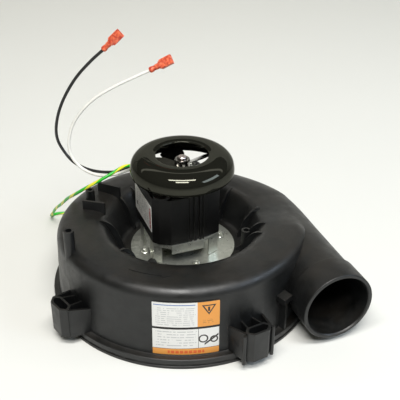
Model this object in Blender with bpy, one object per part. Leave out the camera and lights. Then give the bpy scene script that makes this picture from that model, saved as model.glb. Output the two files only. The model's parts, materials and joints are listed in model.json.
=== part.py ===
"""Draft inducer (combustion fan) of a gas furnace: a plastic scroll housing lies flat on its
inlet plate, a shaded-pole motor stands in the well of the housing, and one shaft carries the
motor's rotor, its cooling fan, a heat slinger and the combustion air impeller.

Metres, +Z up. The origin is the middle of the footprint, on the surface the fan lies on.
Every piece is modelled about the rotor axis and then carried to its place by one empty.
"""

import math

import bmesh
import bpy
from mathutils import Matrix, Vector

MM = 0.001
GAP = 0.3 * MM  # clearance between pieces that touch

# The rotor axis, from the middle of the footprint.
AXIS_X = 1.46 * MM
AXIS_Y = 5.77 * MM

# Heights above the surface the fan lies on.
PLATE_TOP = 2.6 * MM  # inlet plate
FLANGE_BOTTOM = 3.0 * MM
FLANGE_TOP = 9.0 * MM
WELL_FLOOR = 38.0 * MM
CREST = 68.5 * MM  # highest ring of the housing
MOTOR_PLATE_TOP = 40.4 * MM
MOTOR_BOTTOM = 60.0 * MM
MOTOR_TOP = 102.0 * MM
BRACKET_FLOOR = 40.7 * MM  # where the feet of the motor's lower bracket stand

# The scroll, seen from above, turns clockwise from the tongue to the outlet.
TONGUE_ANGLE = -52.0
OUTLET_TURN = 308.0  # degrees clockwise from the tongue to the outlet
SCROLL_START = 104.5 * MM
SCROLL_GROWTH = 5.0 * MM
SCROLL_FLARE = 5.8 * MM
FLANGE_RADIUS = 112.0 * MM
WALL = 3.0 * MM
DRAFT = 1.6 * MM  # how much wider the wall is at the flange
CORNER_TIGHT = 9.0 * MM
CORNER_ROUND = 28.5 * MM
SCROLL_STEPS = 40

# Outlet tube, along -Y.
OUTLET_X = 85.8 * MM
OUTLET_Z = 35.5 * MM
OUTLET_FACE = -119.0 * MM
OUTLET_RADIUS = 28.5 * MM
COLLAR_RADIUS = 29.9 * MM  # nearly the 60.3 mm outside of nominal 2 inch pipe
COLLAR_LENGTH = 24.0 * MM
OUTLET_BORE = 26.5 * MM

# Mounting ears: hollow six-sided blocks, a screw through the floor of each.
EAR_ANGLES = (-161.4, -82.2, 38.0, 118.0)
PIN_EAR = 1  # the ear with a round pin on each side
EAR_RADIUS = 121.2 * MM
EAR_BOTTOM = 9.6 * MM
EAR_TOP = 36.0 * MM
EAR_FLOOR = 12.0 * MM
EAR_WALL = 1.8 * MM
EAR_BORE = 2.7 * MM

# Motor plate and its screws, and the screws that hold the inlet plate.
MOTOR_PLATE_RADIUS = 44.4 * MM
SCREW_CIRCLE = 34.0 * MM
PLATE_SCREW_ANGLES = (0, 90, 180, 270)
COVER_SCREW_ANGLES = (-128.0, 160.0, 84.0, 12.0)

# Small things on the housing, by angle.
GUSSET_ANGLES = (112, 128, 165, -155, -132, -41, -5, 30, 66)
SHORT_GUSSET_ANGLE = -28
WEB_ANGLE = -63
LABEL_ANGLES = (-122.7, -94.5)

# Motor. The stack stands a little off the rotor axis.
STACK_X = -3.9 * MM
STACK_Y = 1.0 * MM
BOLT_OFFSET = 19.5 * MM
BOLT_HOLE = 2.2 * MM
SHAFT_RADIUS = 3.97 * MM  # 5/16 inch shaft
ROTOR_RADIUS = 16.0 * MM
BEARING_SEAT = 7.5 * MM

IMPELLER_RADIUS = 59.0 * MM
BLADE_COUNT = 10
COOLING_BLADES = 5
INLET_RADIUS = 34.5 * MM

# Leads. Their routes are in millimetres about the rotor axis, from the grommet to the far end.
LEAD_RADIUS = 1.35 * MM
BLACK_ROUTE = (
    (-17.6, 35.6, 99), (-17.6, 39.5, 99), (-21, 47, 96.9), (-33, 55, 91), (-44, 61, 87.2), (-55, 73, 84),
    (-64, 83, 84.4), (-72, 90, 89), (-78.5, 95, 99), (-82, 97, 109), (-82, 98, 120), (-78.5, 98, 134),
    (-72, 96.5, 149), (-62, 94, 165), (-50, 90, 179), (-38.8, 86.9, 189.3),
)
WHITE_ROUTE = (
    (-22.2, 35.6, 99), (-22.2, 38.5, 99), (-26, 43, 97.4), (-35, 46, 94.2), (-44, 50, 90.6), (-55, 61, 86),
    (-66, 72, 88.4), (-73, 79, 96.6), (-75, 83, 105.5), (-73.6, 84.3, 116), (-69, 84.7, 128),
    (-60.4, 82.4, 140.5), (-49, 79, 151.3), (-33.3, 74, 161), (-18, 69, 168.8), (-5.2, 65.3, 174.6),
)
GROUND_ROUTE = (
    (-26.8, 35.6, 99), (-26.8, 38, 99), (-30, 41, 101), (-38, 40.5, 102), (-49, 37, 99.6), (-61, 37, 94.5),
    (-71.5, 42, 87), (-78.5, 51, 78), (-83, 69, 64), (-86, 88, 48), (-87.6, 109, 32), (-88.5, 126, 17),
    (-88.5, 139, 6.5), (-86, 146.5, 2.2), (-79, 148, 1.6), (-70, 145.5, 1.6), (-60, 142, 1.6),
    (-50, 139.4, 1.6),
)
BLACK_TIP = (-23.1, 80.8, 205.6)  # far ends of the two receptacles
WHITE_TIP = (13.3, 58.1, 185.6)


def lerp(start, end, fraction):
    return start + (end - start) * fraction


def smooth(fraction):
    fraction = min(max(fraction, 0.0), 1.0)
    return fraction * fraction * (3 - 2 * fraction)


def polar(radius, degrees, z=0.0):
    angle = math.radians(degrees)
    return Vector((radius * math.cos(angle), radius * math.sin(angle), z))


def mm(*points):
    """Tuples of millimetres, as tuples of metres."""
    return [tuple(value * MM for value in point) for point in points]


def arc(centre, radius, start, end, steps):
    """Points on an arc, in the plane of the two coordinates of centre."""
    points = []
    for step in range(steps + 1):
        angle = math.radians(lerp(start, end, step / steps))
        points.append((centre[0] + radius * math.cos(angle), centre[1] + radius * math.sin(angle)))
    return points


def circle(radius, x=0.0, y=0.0, sides=10):
    return arc((x, y), radius, 0, 360, sides)[:-1]


# ---------------------------------------------------------------- shapes


def swept(outline_at, segments):
    """A solid round Z: outline_at(degrees) gives its closed (r, z) outline there."""
    bm = bmesh.new()
    columns = []
    for step in range(segments):
        degrees = 360.0 * step / segments
        column = []
        for index, (radius, z) in enumerate(outline_at(degrees)):
            on_axis = radius == 0 and columns
            column.append(columns[0][index] if on_axis else bm.verts.new(polar(radius, degrees, z)))
        columns.append(column)
    for column, following in zip(columns, columns[1:] + columns[:1]):
        for index in range(len(column)):
            after = (index + 1) % len(column)
            corners = (column[index], following[index], following[after], column[after])
            corners = list(dict.fromkeys(corners))
            if len(corners) > 2:
                bm.faces.new(corners)
    bmesh.ops.recalc_face_normals(bm, faces=bm.faces)
    return bm


def turned(outline, segments=28):
    return swept(lambda degrees: outline, segments)


def extruded(points, along):
    """A solid from a flat outline of 3D points, pushed along a vector."""
    bm = bmesh.new()
    near = [bm.verts.new(point) for point in points]
    far = [bm.verts.new(Vector(point) + Vector(along)) for point in points]
    bm.faces.new(near)
    bm.faces.new(far)
    for index in range(len(near)):
        after = (index + 1) % len(near)
        bm.faces.new((near[index], near[after], far[after], far[index]))
    bmesh.ops.recalc_face_normals(bm, faces=bm.faces)
    return bm


def prism(outline, bottom, top):
    return extruded([(x, y, bottom) for x, y in outline], (0, 0, top - bottom))


def disc(radius, bottom, top, x=0.0, y=0.0, sides=10):
    return prism(circle(radius, x, y, sides), bottom, top)


def ring(outer, inner, bottom, top, segments=28):
    return turned([(inner, top), (outer, top), (outer, bottom), (inner, bottom)], segments)


def block(low, high):
    corners = [(low[0], low[1]), (high[0], low[1]), (high[0], high[1]), (low[0], high[1])]
    return prism(corners, low[2], high[2])


def fin(degrees, outline, thickness):
    """A flat upright fin in the radial plane at this angle, from its (r, z) outline."""
    across = polar(1, degrees + 90)
    points = [polar(radius, degrees, z) - across * thickness / 2 for radius, z in outline]
    return extruded(points, across * thickness)


def folded(outline, bottom, top):
    """Upright sheet metal, from its outline in millimetres as seen from above."""
    return prism(mm(*outline), bottom, top)


def moved(bm, matrix):
    bm.transform(matrix)
    return bm


# ---------------------------------------------------------------- objects


def clear_scene():
    for old in list(bpy.data.objects):
        bpy.data.objects.remove(old)


def material(name, colour, roughness, metallic=0.0):
    made = bpy.data.materials.new(name)
    made.use_nodes = True
    shader = made.node_tree.nodes["Principled BSDF"]
    shader.inputs["Base Color"].default_value = (*colour, 1.0)
    shader.inputs["Roughness"].default_value = roughness
    shader.inputs["Metallic"].default_value = metallic
    return made


def empty(name, location):
    made = bpy.data.objects.new(name, None)
    made.location = location
    bpy.context.scene.collection.objects.link(made)
    return made


def combine(target, operation, shapes, label):
    """A Boolean of the target with helper shapes, which stay hidden in a collection of their own."""
    helpers = bpy.data.collections.new(f"{target.name}_{label}")
    helpers.hide_render = True
    bpy.context.scene.collection.children.link(helpers)
    for number, shape in enumerate(shapes):
        mesh = bpy.data.meshes.new(f"{target.name}_{label}_{number}")
        shape.to_mesh(mesh)
        shape.free()
        helper = bpy.data.objects.new(mesh.name, mesh)
        helper.hide_render = True
        helper.display_type = "WIRE"
        helper.parent = target.parent
        helper.location = target.location
        helpers.objects.link(helper)
    modifier = target.modifiers.new(label, "BOOLEAN")
    modifier.operation = operation
    modifier.operand_type = "COLLECTION"
    modifier.collection = helpers
    modifier.solver = "EXACT"


def piece(name, shape, finish, parent, joins=(), cuts=(), late_joins=(), late_cuts=(), place=(0, 0, 0)):
    """One named object. Its helper shapes are joined and cut in the order of the arguments."""
    mesh = bpy.data.meshes.new(name)
    shape.to_mesh(mesh)
    shape.free()
    mesh.shade_smooth()
    mesh.set_sharp_from_angle(angle=math.radians(32))
    mesh.materials.append(finish)
    made = bpy.data.objects.new(name, mesh)
    made.parent = parent
    made.location = place
    bpy.context.scene.collection.objects.link(made)
    steps = (("UNION", joins), ("DIFFERENCE", cuts), ("UNION", late_joins), ("DIFFERENCE", late_cuts))
    for number, (operation, shapes) in enumerate(steps):
        if shapes:
            combine(made, operation, shapes, f"{operation.lower()}_{number}")


# ---------------------------------------------------------------- scroll housing


def scroll_turn(degrees):
    return (TONGUE_ANGLE - degrees) % 360.0


def scroll_blend(degrees):
    """0 at the tongue, rising clockwise to 1 at the outlet, and back to 0 behind the tube."""
    turn = scroll_turn(degrees)
    if turn <= OUTLET_TURN:
        return turn / OUTLET_TURN
    return 1 - smooth((turn - OUTLET_TURN) / (360.0 - OUTLET_TURN))


def wall_radius(degrees):
    """Outside radius of the housing's wall, just under its rounded upper corner."""
    blend = scroll_blend(degrees)
    return SCROLL_START + SCROLL_GROWTH * blend**2 + SCROLL_FLARE * smooth((blend - 0.86) / 0.14)


def corner_radius(degrees):
    """The upper outer corner opens out until it has the roundness of the outlet tube."""
    return lerp(CORNER_TIGHT, CORNER_ROUND, smooth((scroll_blend(degrees) - 0.25) / 0.75))


def crest_height(degrees):
    return CREST - 2.5 * MM * smooth((scroll_blend(degrees) - 0.4) / 0.6)


def flange_radius(degrees):
    return max(FLANGE_RADIUS, wall_radius(degrees) + DRAFT + 2.4 * MM)


def wall_at(degrees, z):
    """Outside radius of the drafted wall at this height."""
    return wall_radius(degrees) + DRAFT * max(0.0, (CREST - CORNER_TIGHT - z) / (CREST - CORNER_TIGHT))


def housing_outline(degrees):
    radius = wall_radius(degrees)
    corner = corner_radius(degrees)
    crest = crest_height(degrees)
    flange = flange_radius(degrees)
    foot = radius + DRAFT
    middle = (radius - corner, crest - corner)
    outside = mm((22, 38), (51, 38), (54.4, 40.6), (59.5, 53), (65.2, 63.8))
    outside += [(70.5 * MM, crest - 1.0 * MM), (77 * MM, crest)]
    outside += arc(middle, corner, 90, 0, 5)
    outside += [(foot, FLANGE_TOP), (flange, FLANGE_TOP), (flange, 4.7 * MM)]
    rabbet = [(flange - 2.6 * MM, 4.7 * MM), (flange - 2.6 * MM, FLANGE_BOTTOM)]
    inside = [(foot - WALL, FLANGE_BOTTOM)]
    inside += arc(middle, corner - WALL, 0, 90, 3)
    inside += [(71.0 * MM, crest - 4.0 * MM)]
    inside += mm((62.3, 51.5), (54.6, 35), (22, 35))
    return outside + rabbet + inside


def gusset(degrees, foot):
    """A rib that stiffens the well, its upper edge arched. foot is its inner radius in millimetres."""
    crest = crest_height(degrees) / MM
    outline = mm((72, crest - 1.6), (68.5, crest - 0.8), (65.4, crest - 1.4), (61.2, crest - 3.9))
    outline += mm((57.4, crest - 8.4), (54.7, 54.6), (52.4, 48.6), (50.9, 44.0), (foot, 40.2))
    outline += mm((foot, 36.5), (57, 36.5), (60, 46.5), (67, 60))
    return fin(degrees, outline, 1.8 * MM)


def ear_point(degrees, out, across):
    """A place beside an ear's bore: out from the rotor axis, and across."""
    return polar(EAR_RADIUS + out, degrees) + polar(across, degrees + 90)


def ear_prism(degrees, inset, bottom, top):
    """The six-sided body of a mounting ear, its sides moved in by inset."""
    half = (
        (5.6 * MM - inset, 6.4 * MM - 0.6 * inset),
        (0.6 * MM, 11.6 * MM - 1.3 * inset),
        (inset - 4.4 * MM, 7.4 * MM - 0.7 * inset),
    )
    points = [ear_point(degrees, out, across) for out, across in half]
    points += [ear_point(degrees, out, -across) for out, across in reversed(half)]
    return prism([(point.x, point.y) for point in points], bottom, top)


def ear_fin(degrees, start, end, end_top, thickness):
    """An upright fin from an ear to the housing's wall, its top sloping down to the wall."""
    near = ear_point(degrees, *start)
    far = ear_point(degrees, *end)
    along = (far - near).normalized()
    across = Vector((-along.y, along.x, 0)) * thickness
    foot = Vector((0, 0, EAR_BOTTOM - 0.9 * MM))
    near_top = Vector((0, 0, EAR_TOP - 0.4 * MM))
    outline = [near + foot, far + foot, far + Vector((0, 0, end_top)), near + near_top]
    return extruded([point - across / 2 for point in outline], across)


def ear_fins(degrees):
    """Broad wings from the ear's side corners, and straight ribs from its back."""
    fins = []
    for side in (-1, 1):
        wing_start = (0.4 * MM, side * 10.8 * MM)
        wing_end = (-18.6 * MM, side * 15.4 * MM)
        fins.append(ear_fin(degrees, wing_start, wing_end, 31 * MM, 1.8 * MM))
        rib_start = (-4.0 * MM, side * 6.2 * MM)
        rib_end = (-16.8 * MM, side * 4.6 * MM)
        fins.append(ear_fin(degrees, rib_start, rib_end, 33 * MM, 1.4 * MM))
    return fins


def ear_pins(degrees):
    """Slender round pins at an ear's side corners."""
    pins = []
    for side in (-1, 1):
        place = ear_point(degrees, 1.6 * MM, side * 12.4 * MM)
        pins.append(disc(1.6 * MM, 7.0 * MM, 34.5 * MM, place.x, place.y))
    return pins


def ring_post(degrees, radius, outside, bottom, top):
    place = polar(radius, degrees)
    return disc(outside, bottom, top, place.x, place.y)


def angle_wall(start, end):
    """A low L-shaped wall standing on the ring, with a short leg turned outwards at its start."""
    start = Vector(start) * MM
    end = Vector(end) * MM
    along = (end - start).normalized()
    across = Vector((-along.y, along.x))
    thick = 1.8 * MM
    leg = 4.0 * MM
    outline = [start, end, end + across * thick, start + (along + across) * thick]
    outline += [start + along * thick + across * leg, start + across * leg]
    return prism([(point.x, point.y) for point in outline], 62 * MM, 76.5 * MM)


def outlet_tube():
    """The tube with its collar, and a tapered tail that sinks into the scroll."""
    collar_back = OUTLET_FACE + COLLAR_LENGTH
    outline = [(0.0, OUTLET_FACE), (COLLAR_RADIUS - 0.5 * MM, OUTLET_FACE)]
    outline += [(COLLAR_RADIUS, OUTLET_FACE + 0.5 * MM), (COLLAR_RADIUS, collar_back)]
    outline += [(OUTLET_RADIUS + 0.3 * MM, collar_back + 1 * MM), (OUTLET_RADIUS, -20 * MM)]
    outline += [(OUTLET_RADIUS - 2 * MM, 4 * MM), (OUTLET_RADIUS - 9 * MM, 24 * MM), (0.0, 26 * MM)]
    return moved(turned(outline, 28), outlet_placement())


def outlet_placement():
    """Carries a shape turned about Z to the outlet's axis, with its own Z along +Y."""
    return Matrix.Translation((OUTLET_X, 0, OUTLET_Z)) @ Matrix.Rotation(math.radians(-90), 4, "X")


def outlet_bore():
    start = OUTLET_FACE - 3 * MM
    end = -4 * MM
    outline = [(0.0, start), (OUTLET_BORE, start), (OUTLET_BORE, end), (0.0, end)]
    return moved(turned(outline, 28), outlet_placement())


def gas_way_outline(degrees):
    """The room inside the scroll, a little smaller all round than the shell that encloses it."""
    gap = 0.4 * MM
    corner = corner_radius(degrees)
    crest = crest_height(degrees)
    radius = wall_radius(degrees)
    outer = radius + DRAFT - WALL - gap
    outline = [(48 * MM, 1 * MM), (outer, 1 * MM)]
    outline += arc((radius - corner, crest - corner), corner - WALL - gap, 0, 90, 3)
    outline += [(71.0 * MM + gap, crest - 4.0 * MM - 1.5 * gap)]
    return outline + mm((62.8, 51.3), (54.9, 34.5), (48, 34.5))


def cover_screw_place(degrees):
    return polar(wall_radius(degrees) - 5.0 * MM, degrees)


def plate_screw_holes(radius, bottom, top):
    return [ring_post(degrees, SCREW_CIRCLE, radius, bottom, top) for degrees in PLATE_SCREW_ANGLES]


def posts():
    """Hollow posts: two stand on the ring, for clips and a cover, and a short one in the well."""
    outsides = [
        ring_post(-171, 101 * MM, 4.3 * MM, 56 * MM, 86 * MM),
        ring_post(142, 84 * MM, 3.9 * MM, 62 * MM, 79 * MM),
        ring_post(-27, 54 * MM, 4.0 * MM, 36.5 * MM, 58 * MM),
    ]
    holes = [
        ring_post(-171, 101 * MM, 2.5 * MM, 70 * MM, 95 * MM),
        ring_post(142, 84 * MM, 2.0 * MM, 69 * MM, 95 * MM),
        ring_post(-27, 54 * MM, 2.3 * MM, 44 * MM, 95 * MM),
    ]
    return outsides, holes


def webs():
    """A web outside the wall by the outlet tube, with a block on top."""
    return [
        fin(WEB_ANGLE, mm((102, 5.4), (111.6, 5.4), (111.6, 37), (102, 37)), 2.4 * MM),
        fin(WEB_ANGLE, mm((102, 36), (113, 36), (113, 40.5), (102, 42)), 10.0 * MM),
    ]


def scroll_housing(plastic, frame):
    post_outsides, post_holes = posts()
    joins = [outlet_tube(), gusset(SHORT_GUSSET_ANGLE, 45.6)]
    joins += [gusset(degrees, 49.5) for degrees in GUSSET_ANGLES]
    for degrees in EAR_ANGLES:
        joins += [ear_prism(degrees, 0.0, EAR_BOTTOM, EAR_TOP)]
        joins += [ear_prism(degrees, 1.2 * MM, EAR_BOTTOM - 1.2 * MM, EAR_BOTTOM + 1 * MM)]
        joins += ear_fins(degrees)
    joins += ear_pins(EAR_ANGLES[PIN_EAR])
    joins += post_outsides
    joins += [angle_wall((-76, 40), (-59.6, 29)), angle_wall((-56, 66), (-40.5, 50))]
    joins += webs()

    cuts = [outlet_bore(), swept(gas_way_outline, SCROLL_STEPS)]
    cuts += [ear_prism(degrees, EAR_WALL, EAR_FLOOR, EAR_TOP + 5 * MM) for degrees in EAR_ANGLES]

    cover_bosses = []
    cover_holes = []
    for degrees in COVER_SCREW_ANGLES:
        place = cover_screw_place(degrees)
        cover_bosses.append(disc(4.4 * MM, FLANGE_BOTTOM + 0.4 * MM, 24 * MM, place.x, place.y))
        cover_holes.append(disc(2.0 * MM, 0.0, 20 * MM, place.x, place.y))

    late_cuts = post_holes + cover_holes + plate_screw_holes(2.3 * MM, 30 * MM, 45 * MM)
    late_cuts += [ring_post(degrees, EAR_RADIUS, EAR_BORE, -2 * MM, 50 * MM) for degrees in EAR_ANGLES]
    shape = swept(housing_outline, SCROLL_STEPS)
    piece("scroll_housing", shape, plastic, frame, joins, cuts, cover_bosses, late_cuts)


def inlet_plate_outline(degrees):
    edge = flange_radius(degrees)
    bell = [(INLET_RADIUS, 8.8 * MM), (INLET_RADIUS + 1.8 * MM, 8.8 * MM)]
    bell += mm((37.8, 4.8), (41.6, 2.6))
    outside = [(edge, PLATE_TOP), (edge, 0.0)]
    return bell + outside + mm((42.5, 0.0), (37.4, 1.8), (34.9, 5.4))


def inlet_plate(plastic, frame):
    """The plate that closes the scroll from below, with a bellmouth and countersunk screw holes."""
    cuts = []
    for degrees in COVER_SCREW_ANGLES:
        place = cover_screw_place(degrees)
        cuts.append(disc(2.1 * MM, -2 * MM, 6 * MM, place.x, place.y))
        cuts.append(disc(4.3 * MM, -2 * MM, 1.6 * MM, place.x, place.y))
    piece("inlet_plate", swept(inlet_plate_outline, SCROLL_STEPS), plastic, frame, cuts=cuts)


def seal_outline(degrees):
    outer = flange_radius(degrees) - 0.4 * MM
    inner = outer - 1.9 * MM
    low = PLATE_TOP + GAP
    high = 4.4 * MM
    return [(inner, high), (outer, high), (outer, low), (inner, low)]


def housing_seal(rubber, frame):
    """A flat ring of sealing strip in the rabbet at the flange's edge."""
    piece("housing_seal", swept(seal_outline, SCROLL_STEPS), rubber, frame)


def cover_screws(zinc, frame):
    for number, degrees in enumerate(COVER_SCREW_ANGLES, 1):
        head = turned(mm((0, 1.3), (3.2, 1.3), (3.8, 0.7), (3.4, 0.2), (0, 0.2)), 12)
        shank = disc(1.7 * MM, 0.8 * MM, 17 * MM)
        place = cover_screw_place(degrees)
        piece(f"cover_screw_{number}", head, zinc, frame, joins=[shank], place=place)


# ---------------------------------------------------------------- impeller and shaft


def impeller_blade(degrees):
    """One backward-curved blade, from above a thin strip along an arc."""
    thickness = 0.9 * MM
    steps = 3
    sweep = 34  # degrees from root to tip
    centres = []
    for step in range(steps + 1):
        radius = lerp(30 * MM, IMPELLER_RADIUS - 1 * MM, step / steps)
        centres.append(polar(radius, degrees + sweep * (step / steps) ** 0.8))
    left = []
    right = []
    for index, centre in enumerate(centres):
        ahead = centres[min(index + 1, steps)] - centres[max(index - 1, 0)]
        side = Vector((-ahead.y, ahead.x, 0)).normalized() * thickness / 2
        left.append(centre + side)
        right.append(centre - side)
    return prism([(point.x, point.y) for point in left + right[::-1]], 10.6 * MM, 31 * MM)


def impeller(plastic, rotor):
    """Back plate with its hub, curved blades and a narrow front shroud."""
    back = mm((4.27, 33.6), (8.4, 33.6), (9.2, 31.8), (59, 31.8))
    back += mm((59, 30.4), (9.6, 30.4), (8.4, 14.4), (4.27, 14.4))
    shroud = turned(mm((37.5, 10.2), (38.5, 11.6), (58.6, 13.2), (58.6, 12.0), (39, 10.2)))
    blades = [impeller_blade(360 * number / BLADE_COUNT) for number in range(BLADE_COUNT)]
    piece("impeller", turned(back), plastic, rotor, joins=blades + [shroud])


def impeller_clip(steel, rotor):
    """A push-on ring that holds the impeller's hub on the shaft, open at one side."""
    opening = block(*mm((2, -1.2, 10), (10, 1.2, 16)))
    body = ring(7.0 * MM, SHAFT_RADIUS + GAP, 12.4 * MM, 13.8 * MM, 20)
    piece("impeller_clip", body, steel, rotor, cuts=[opening])


def rotor_shaft(steel, rotor):
    outline = mm((0, 11), (3.4, 11)) + [(SHAFT_RADIUS, 11.6 * MM), (SHAFT_RADIUS, 123.4 * MM)]
    outline += mm((3.2, 124.8), (1.6, 125.6), (0, 125.8))
    piece("rotor_shaft", turned(outline, 20), steel, rotor)


def rotor_core(steel, rotor):
    body = ring(ROTOR_RADIUS, SHAFT_RADIUS + GAP, 66 * MM, 96 * MM, 32)
    piece("rotor_core", body, steel, rotor)


def heat_slinger(aluminium, rotor):
    """A disc on the shaft that keeps flue heat from the lower bearing."""
    outline = mm((4.27, 49.6), (7, 49.6), (7.4, 47.9), (18, 47.4))
    outline += mm((18.6, 46.2), (7.4, 46.2), (7, 44), (4.27, 44))
    piece("heat_slinger", turned(outline, 28), aluminium, rotor)


def cooling_fan(aluminium, rotor):
    """Five pitched blades on a hub, under the motor's cap."""
    hub = turned(mm((4.27, 123.0), (6.0, 123.0), (6.4, 121.5), (6.4, 112.4), (4.27, 112.4)), 20)
    outline = mm((5.4, -4.5), (14, -8.5), (32.5, -9.5), (33.5, 0), (31, 9.5), (14, 7.5), (5.4, 4.5))
    pitch = Matrix.Translation((0, 0, 116.6 * MM)) @ Matrix.Rotation(math.radians(-27), 4, "X")
    blades = []
    for number in range(COOLING_BLADES):
        blade = prism(outline, -0.4 * MM, 0.4 * MM)
        turn = Matrix.Rotation(math.radians(20 + 360 * number / COOLING_BLADES), 4, "Z")
        blades.append(moved(blade, turn @ pitch))
    piece("cooling_fan", hub, aluminium, rotor, joins=blades)


# ---------------------------------------------------------------- motor


def motor_plate(zinc, frame):
    """The round plate over the well's floor, with two notches that locate it."""
    cuts = plate_screw_holes(2.4 * MM, 30 * MM, 50 * MM)
    cuts += [ring_post(degrees, 45.2 * MM, 2.4 * MM, 30 * MM, 50 * MM) for degrees in (-112, 68)]
    body = ring(MOTOR_PLATE_RADIUS, 9 * MM, MOTOR_PLATE_TOP - 1.2 * MM, MOTOR_PLATE_TOP, 40)
    piece("motor_plate", body, zinc, frame, cuts=cuts)


def plate_gasket(rubber, frame):
    body = ring(42.5 * MM, 26 * MM, 38.3 * MM, 38.9 * MM)
    piece("plate_gasket", body, rubber, frame, cuts=plate_screw_holes(2.6 * MM, 30 * MM, 50 * MM))


def plate_screws(zinc, frame):
    """Hexagon washer-head screws through the motor plate."""
    for number, degrees in enumerate(PLATE_SCREW_ANGLES, 1):
        washer = turned(mm((0, 41.7), (3.4, 41.7), (4.3, 41.1), (4.3, 40.7), (0, 40.7)), 16)
        head = disc(3.1 * MM, 41.2 * MM, 44.2 * MM, sides=6)
        shank = disc(1.9 * MM, 35.6 * MM, 41 * MM)
        place = polar(SCREW_CIRCLE, degrees)
        piece(f"plate_screw_{number}", washer, zinc, frame, joins=[head, shank], place=place)


def stack_outline():
    """The stack from above, with two grooves in its front and its front corners cut off."""
    front = -27.3
    outline = [(-32.3, -17.5), (-28.2, -22.2), (-19.5, front), (2.8, front), (2.8, front + 1.6), (5.4, front + 1.6)]
    outline += [(5.4, front), (8.8, front), (8.8, front + 2.4), (12.6, front + 2.4)]
    outline += [(24.5, -21.4), (24.5, 20), (16, 29.4), (-29.5, 29.4), (-32.3, 26.6)]
    return mm(*outline)


def bolt_places():
    for side_x, side_y in ((-1, -1), (1, -1), (1, 1), (-1, 1)):
        yield STACK_X + side_x * BOLT_OFFSET, STACK_Y + side_y * BOLT_OFFSET


def bolt_holes(bottom, top):
    return [disc(BOLT_HOLE, bottom, top, x, y) for x, y in bolt_places()]


def stator_core(black, frame):
    """The laminated stack, bored for the rotor and recessed at both ends for the windings."""
    cuts = [disc(ROTOR_RADIUS + 0.4 * MM, 50 * MM, 110 * MM, sides=28)]
    cuts += [disc(20.5 * MM, 50 * MM, 68 * MM, sides=28), disc(20.5 * MM, 94 * MM, 110 * MM, sides=28)]
    cuts += bolt_holes(50 * MM, 110 * MM)
    piece("stator_core", prism(stack_outline(), MOTOR_BOTTOM, MOTOR_TOP), black, frame, cuts=cuts)


def windings(copper, frame):
    piece("lower_winding", ring(20.2 * MM, 17 * MM, 60.6 * MM, 67.7 * MM, 28), copper, frame)
    piece("upper_winding", ring(20.2 * MM, 17 * MM, 94.3 * MM, 101.4 * MM, 28), copper, frame)


def bracket_legs():
    """The four legs, two of which fold round the front corners."""
    top = 59.2 * MM
    legs = []
    for low_x, high_x in ((-31.6, -30.4), (22.6, 23.8)):
        for low_y, high_y in ((-17.4, -8), (9.5, 19)):
            outline = ((low_x, low_y), (high_x, low_y), (high_x, high_y), (low_x, high_y))
            legs.append(folded(outline, BRACKET_FLOOR, top))
    left_fold = ((-31.6, -17.4), (-26, -21.8), (-25.3, -20.9), (-30.4, -16.9))
    right_fold = ((23.8, -17.4), (23.8, -20.4), (14.5, -24.2), (14.1, -23.1), (22.6, -19.6), (22.6, -17.4))
    return legs + [folded(left_fold, BRACKET_FLOOR, top), folded(right_fold, BRACKET_FLOOR, top)]


def lower_bracket(zinc, frame):
    """The stamped bracket under the stack: a tray with folded lips, four legs and the bearing cup."""
    bottom = 58.4 * MM
    top = 59.6 * MM
    tray = ((-31.6, -17.8), (-19.2, -27.6), (10, -27.6), (23.8, -21.6), (23.8, 19.8), (15.6, 28.8))
    tray += ((-29.2, 28.8), (-31.6, 26.4))
    joins = bracket_legs()
    joins += [block(*mm((-19.4, -28.4, 51.8), (8, -27.2, 59.6)))]
    joins += [block(*mm((-18, 27.8, 51.8), (12, 29.0, 59.6)))]
    joins += [folded(((-31.9, -18.2), (-19.4, -27.8), (-18.7, -26.9), (-31.2, -17.3)), 56.4 * MM, top)]
    joins += [turned(mm((7.5, 59.6), (14, 59.6), (13, 58.2), (10.5, 56.6), (9.6, 51), (7.5, 51)), 28)]
    cuts = [disc(BEARING_SEAT, 50 * MM, 70 * MM, sides=28)] + bolt_holes(50 * MM, 70 * MM)
    piece("lower_bracket", folded(tray, bottom, top), zinc, frame, joins, cuts)


def upper_bracket(black, frame):
    """A square plate with rounded bolt corners and the upper bearing's cup."""
    bottom = MOTOR_TOP + 0.4 * MM
    top = bottom + 1.8 * MM
    half = 22 * MM
    joins = [disc(7.6 * MM, bottom, top, x, y) for x, y in bolt_places()]
    joins += [turned(mm((7.5, 110), (9.8, 110), (10.6, 105), (16, 104), (16, 102.6), (7.5, 102.6)), 28)]
    cuts = [disc(BEARING_SEAT, 90 * MM, 120 * MM, sides=28)] + bolt_holes(90 * MM, 120 * MM)
    body = block((STACK_X - half, STACK_Y - half, bottom), (STACK_X + half, STACK_Y + half, top))
    piece("upper_bracket", body, black, frame, joins, cuts)


def bearings(bronze, frame):
    for name, bottom, top in (("lower_bearing", 51.4, 58.8), ("upper_bearing", 103.2, 109.6)):
        body = ring(7.2 * MM, SHAFT_RADIUS + GAP, bottom * MM, top * MM, 24)
        piece(name, body, bronze, frame)


def motor_bolts(zinc, frame):
    """Long bolts that clamp both brackets to the stack."""
    for number, (x, y) in enumerate(bolt_places(), 1):
        head = disc(3.4 * MM, MOTOR_TOP + 2.5 * MM, MOTOR_TOP + 4.9 * MM, sides=6)
        shank = disc(1.8 * MM, 55.6 * MM, MOTOR_TOP + 3 * MM)
        piece(f"motor_bolt_{number}", head, zinc, frame, joins=[shank], place=(x, y, 0))


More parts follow.
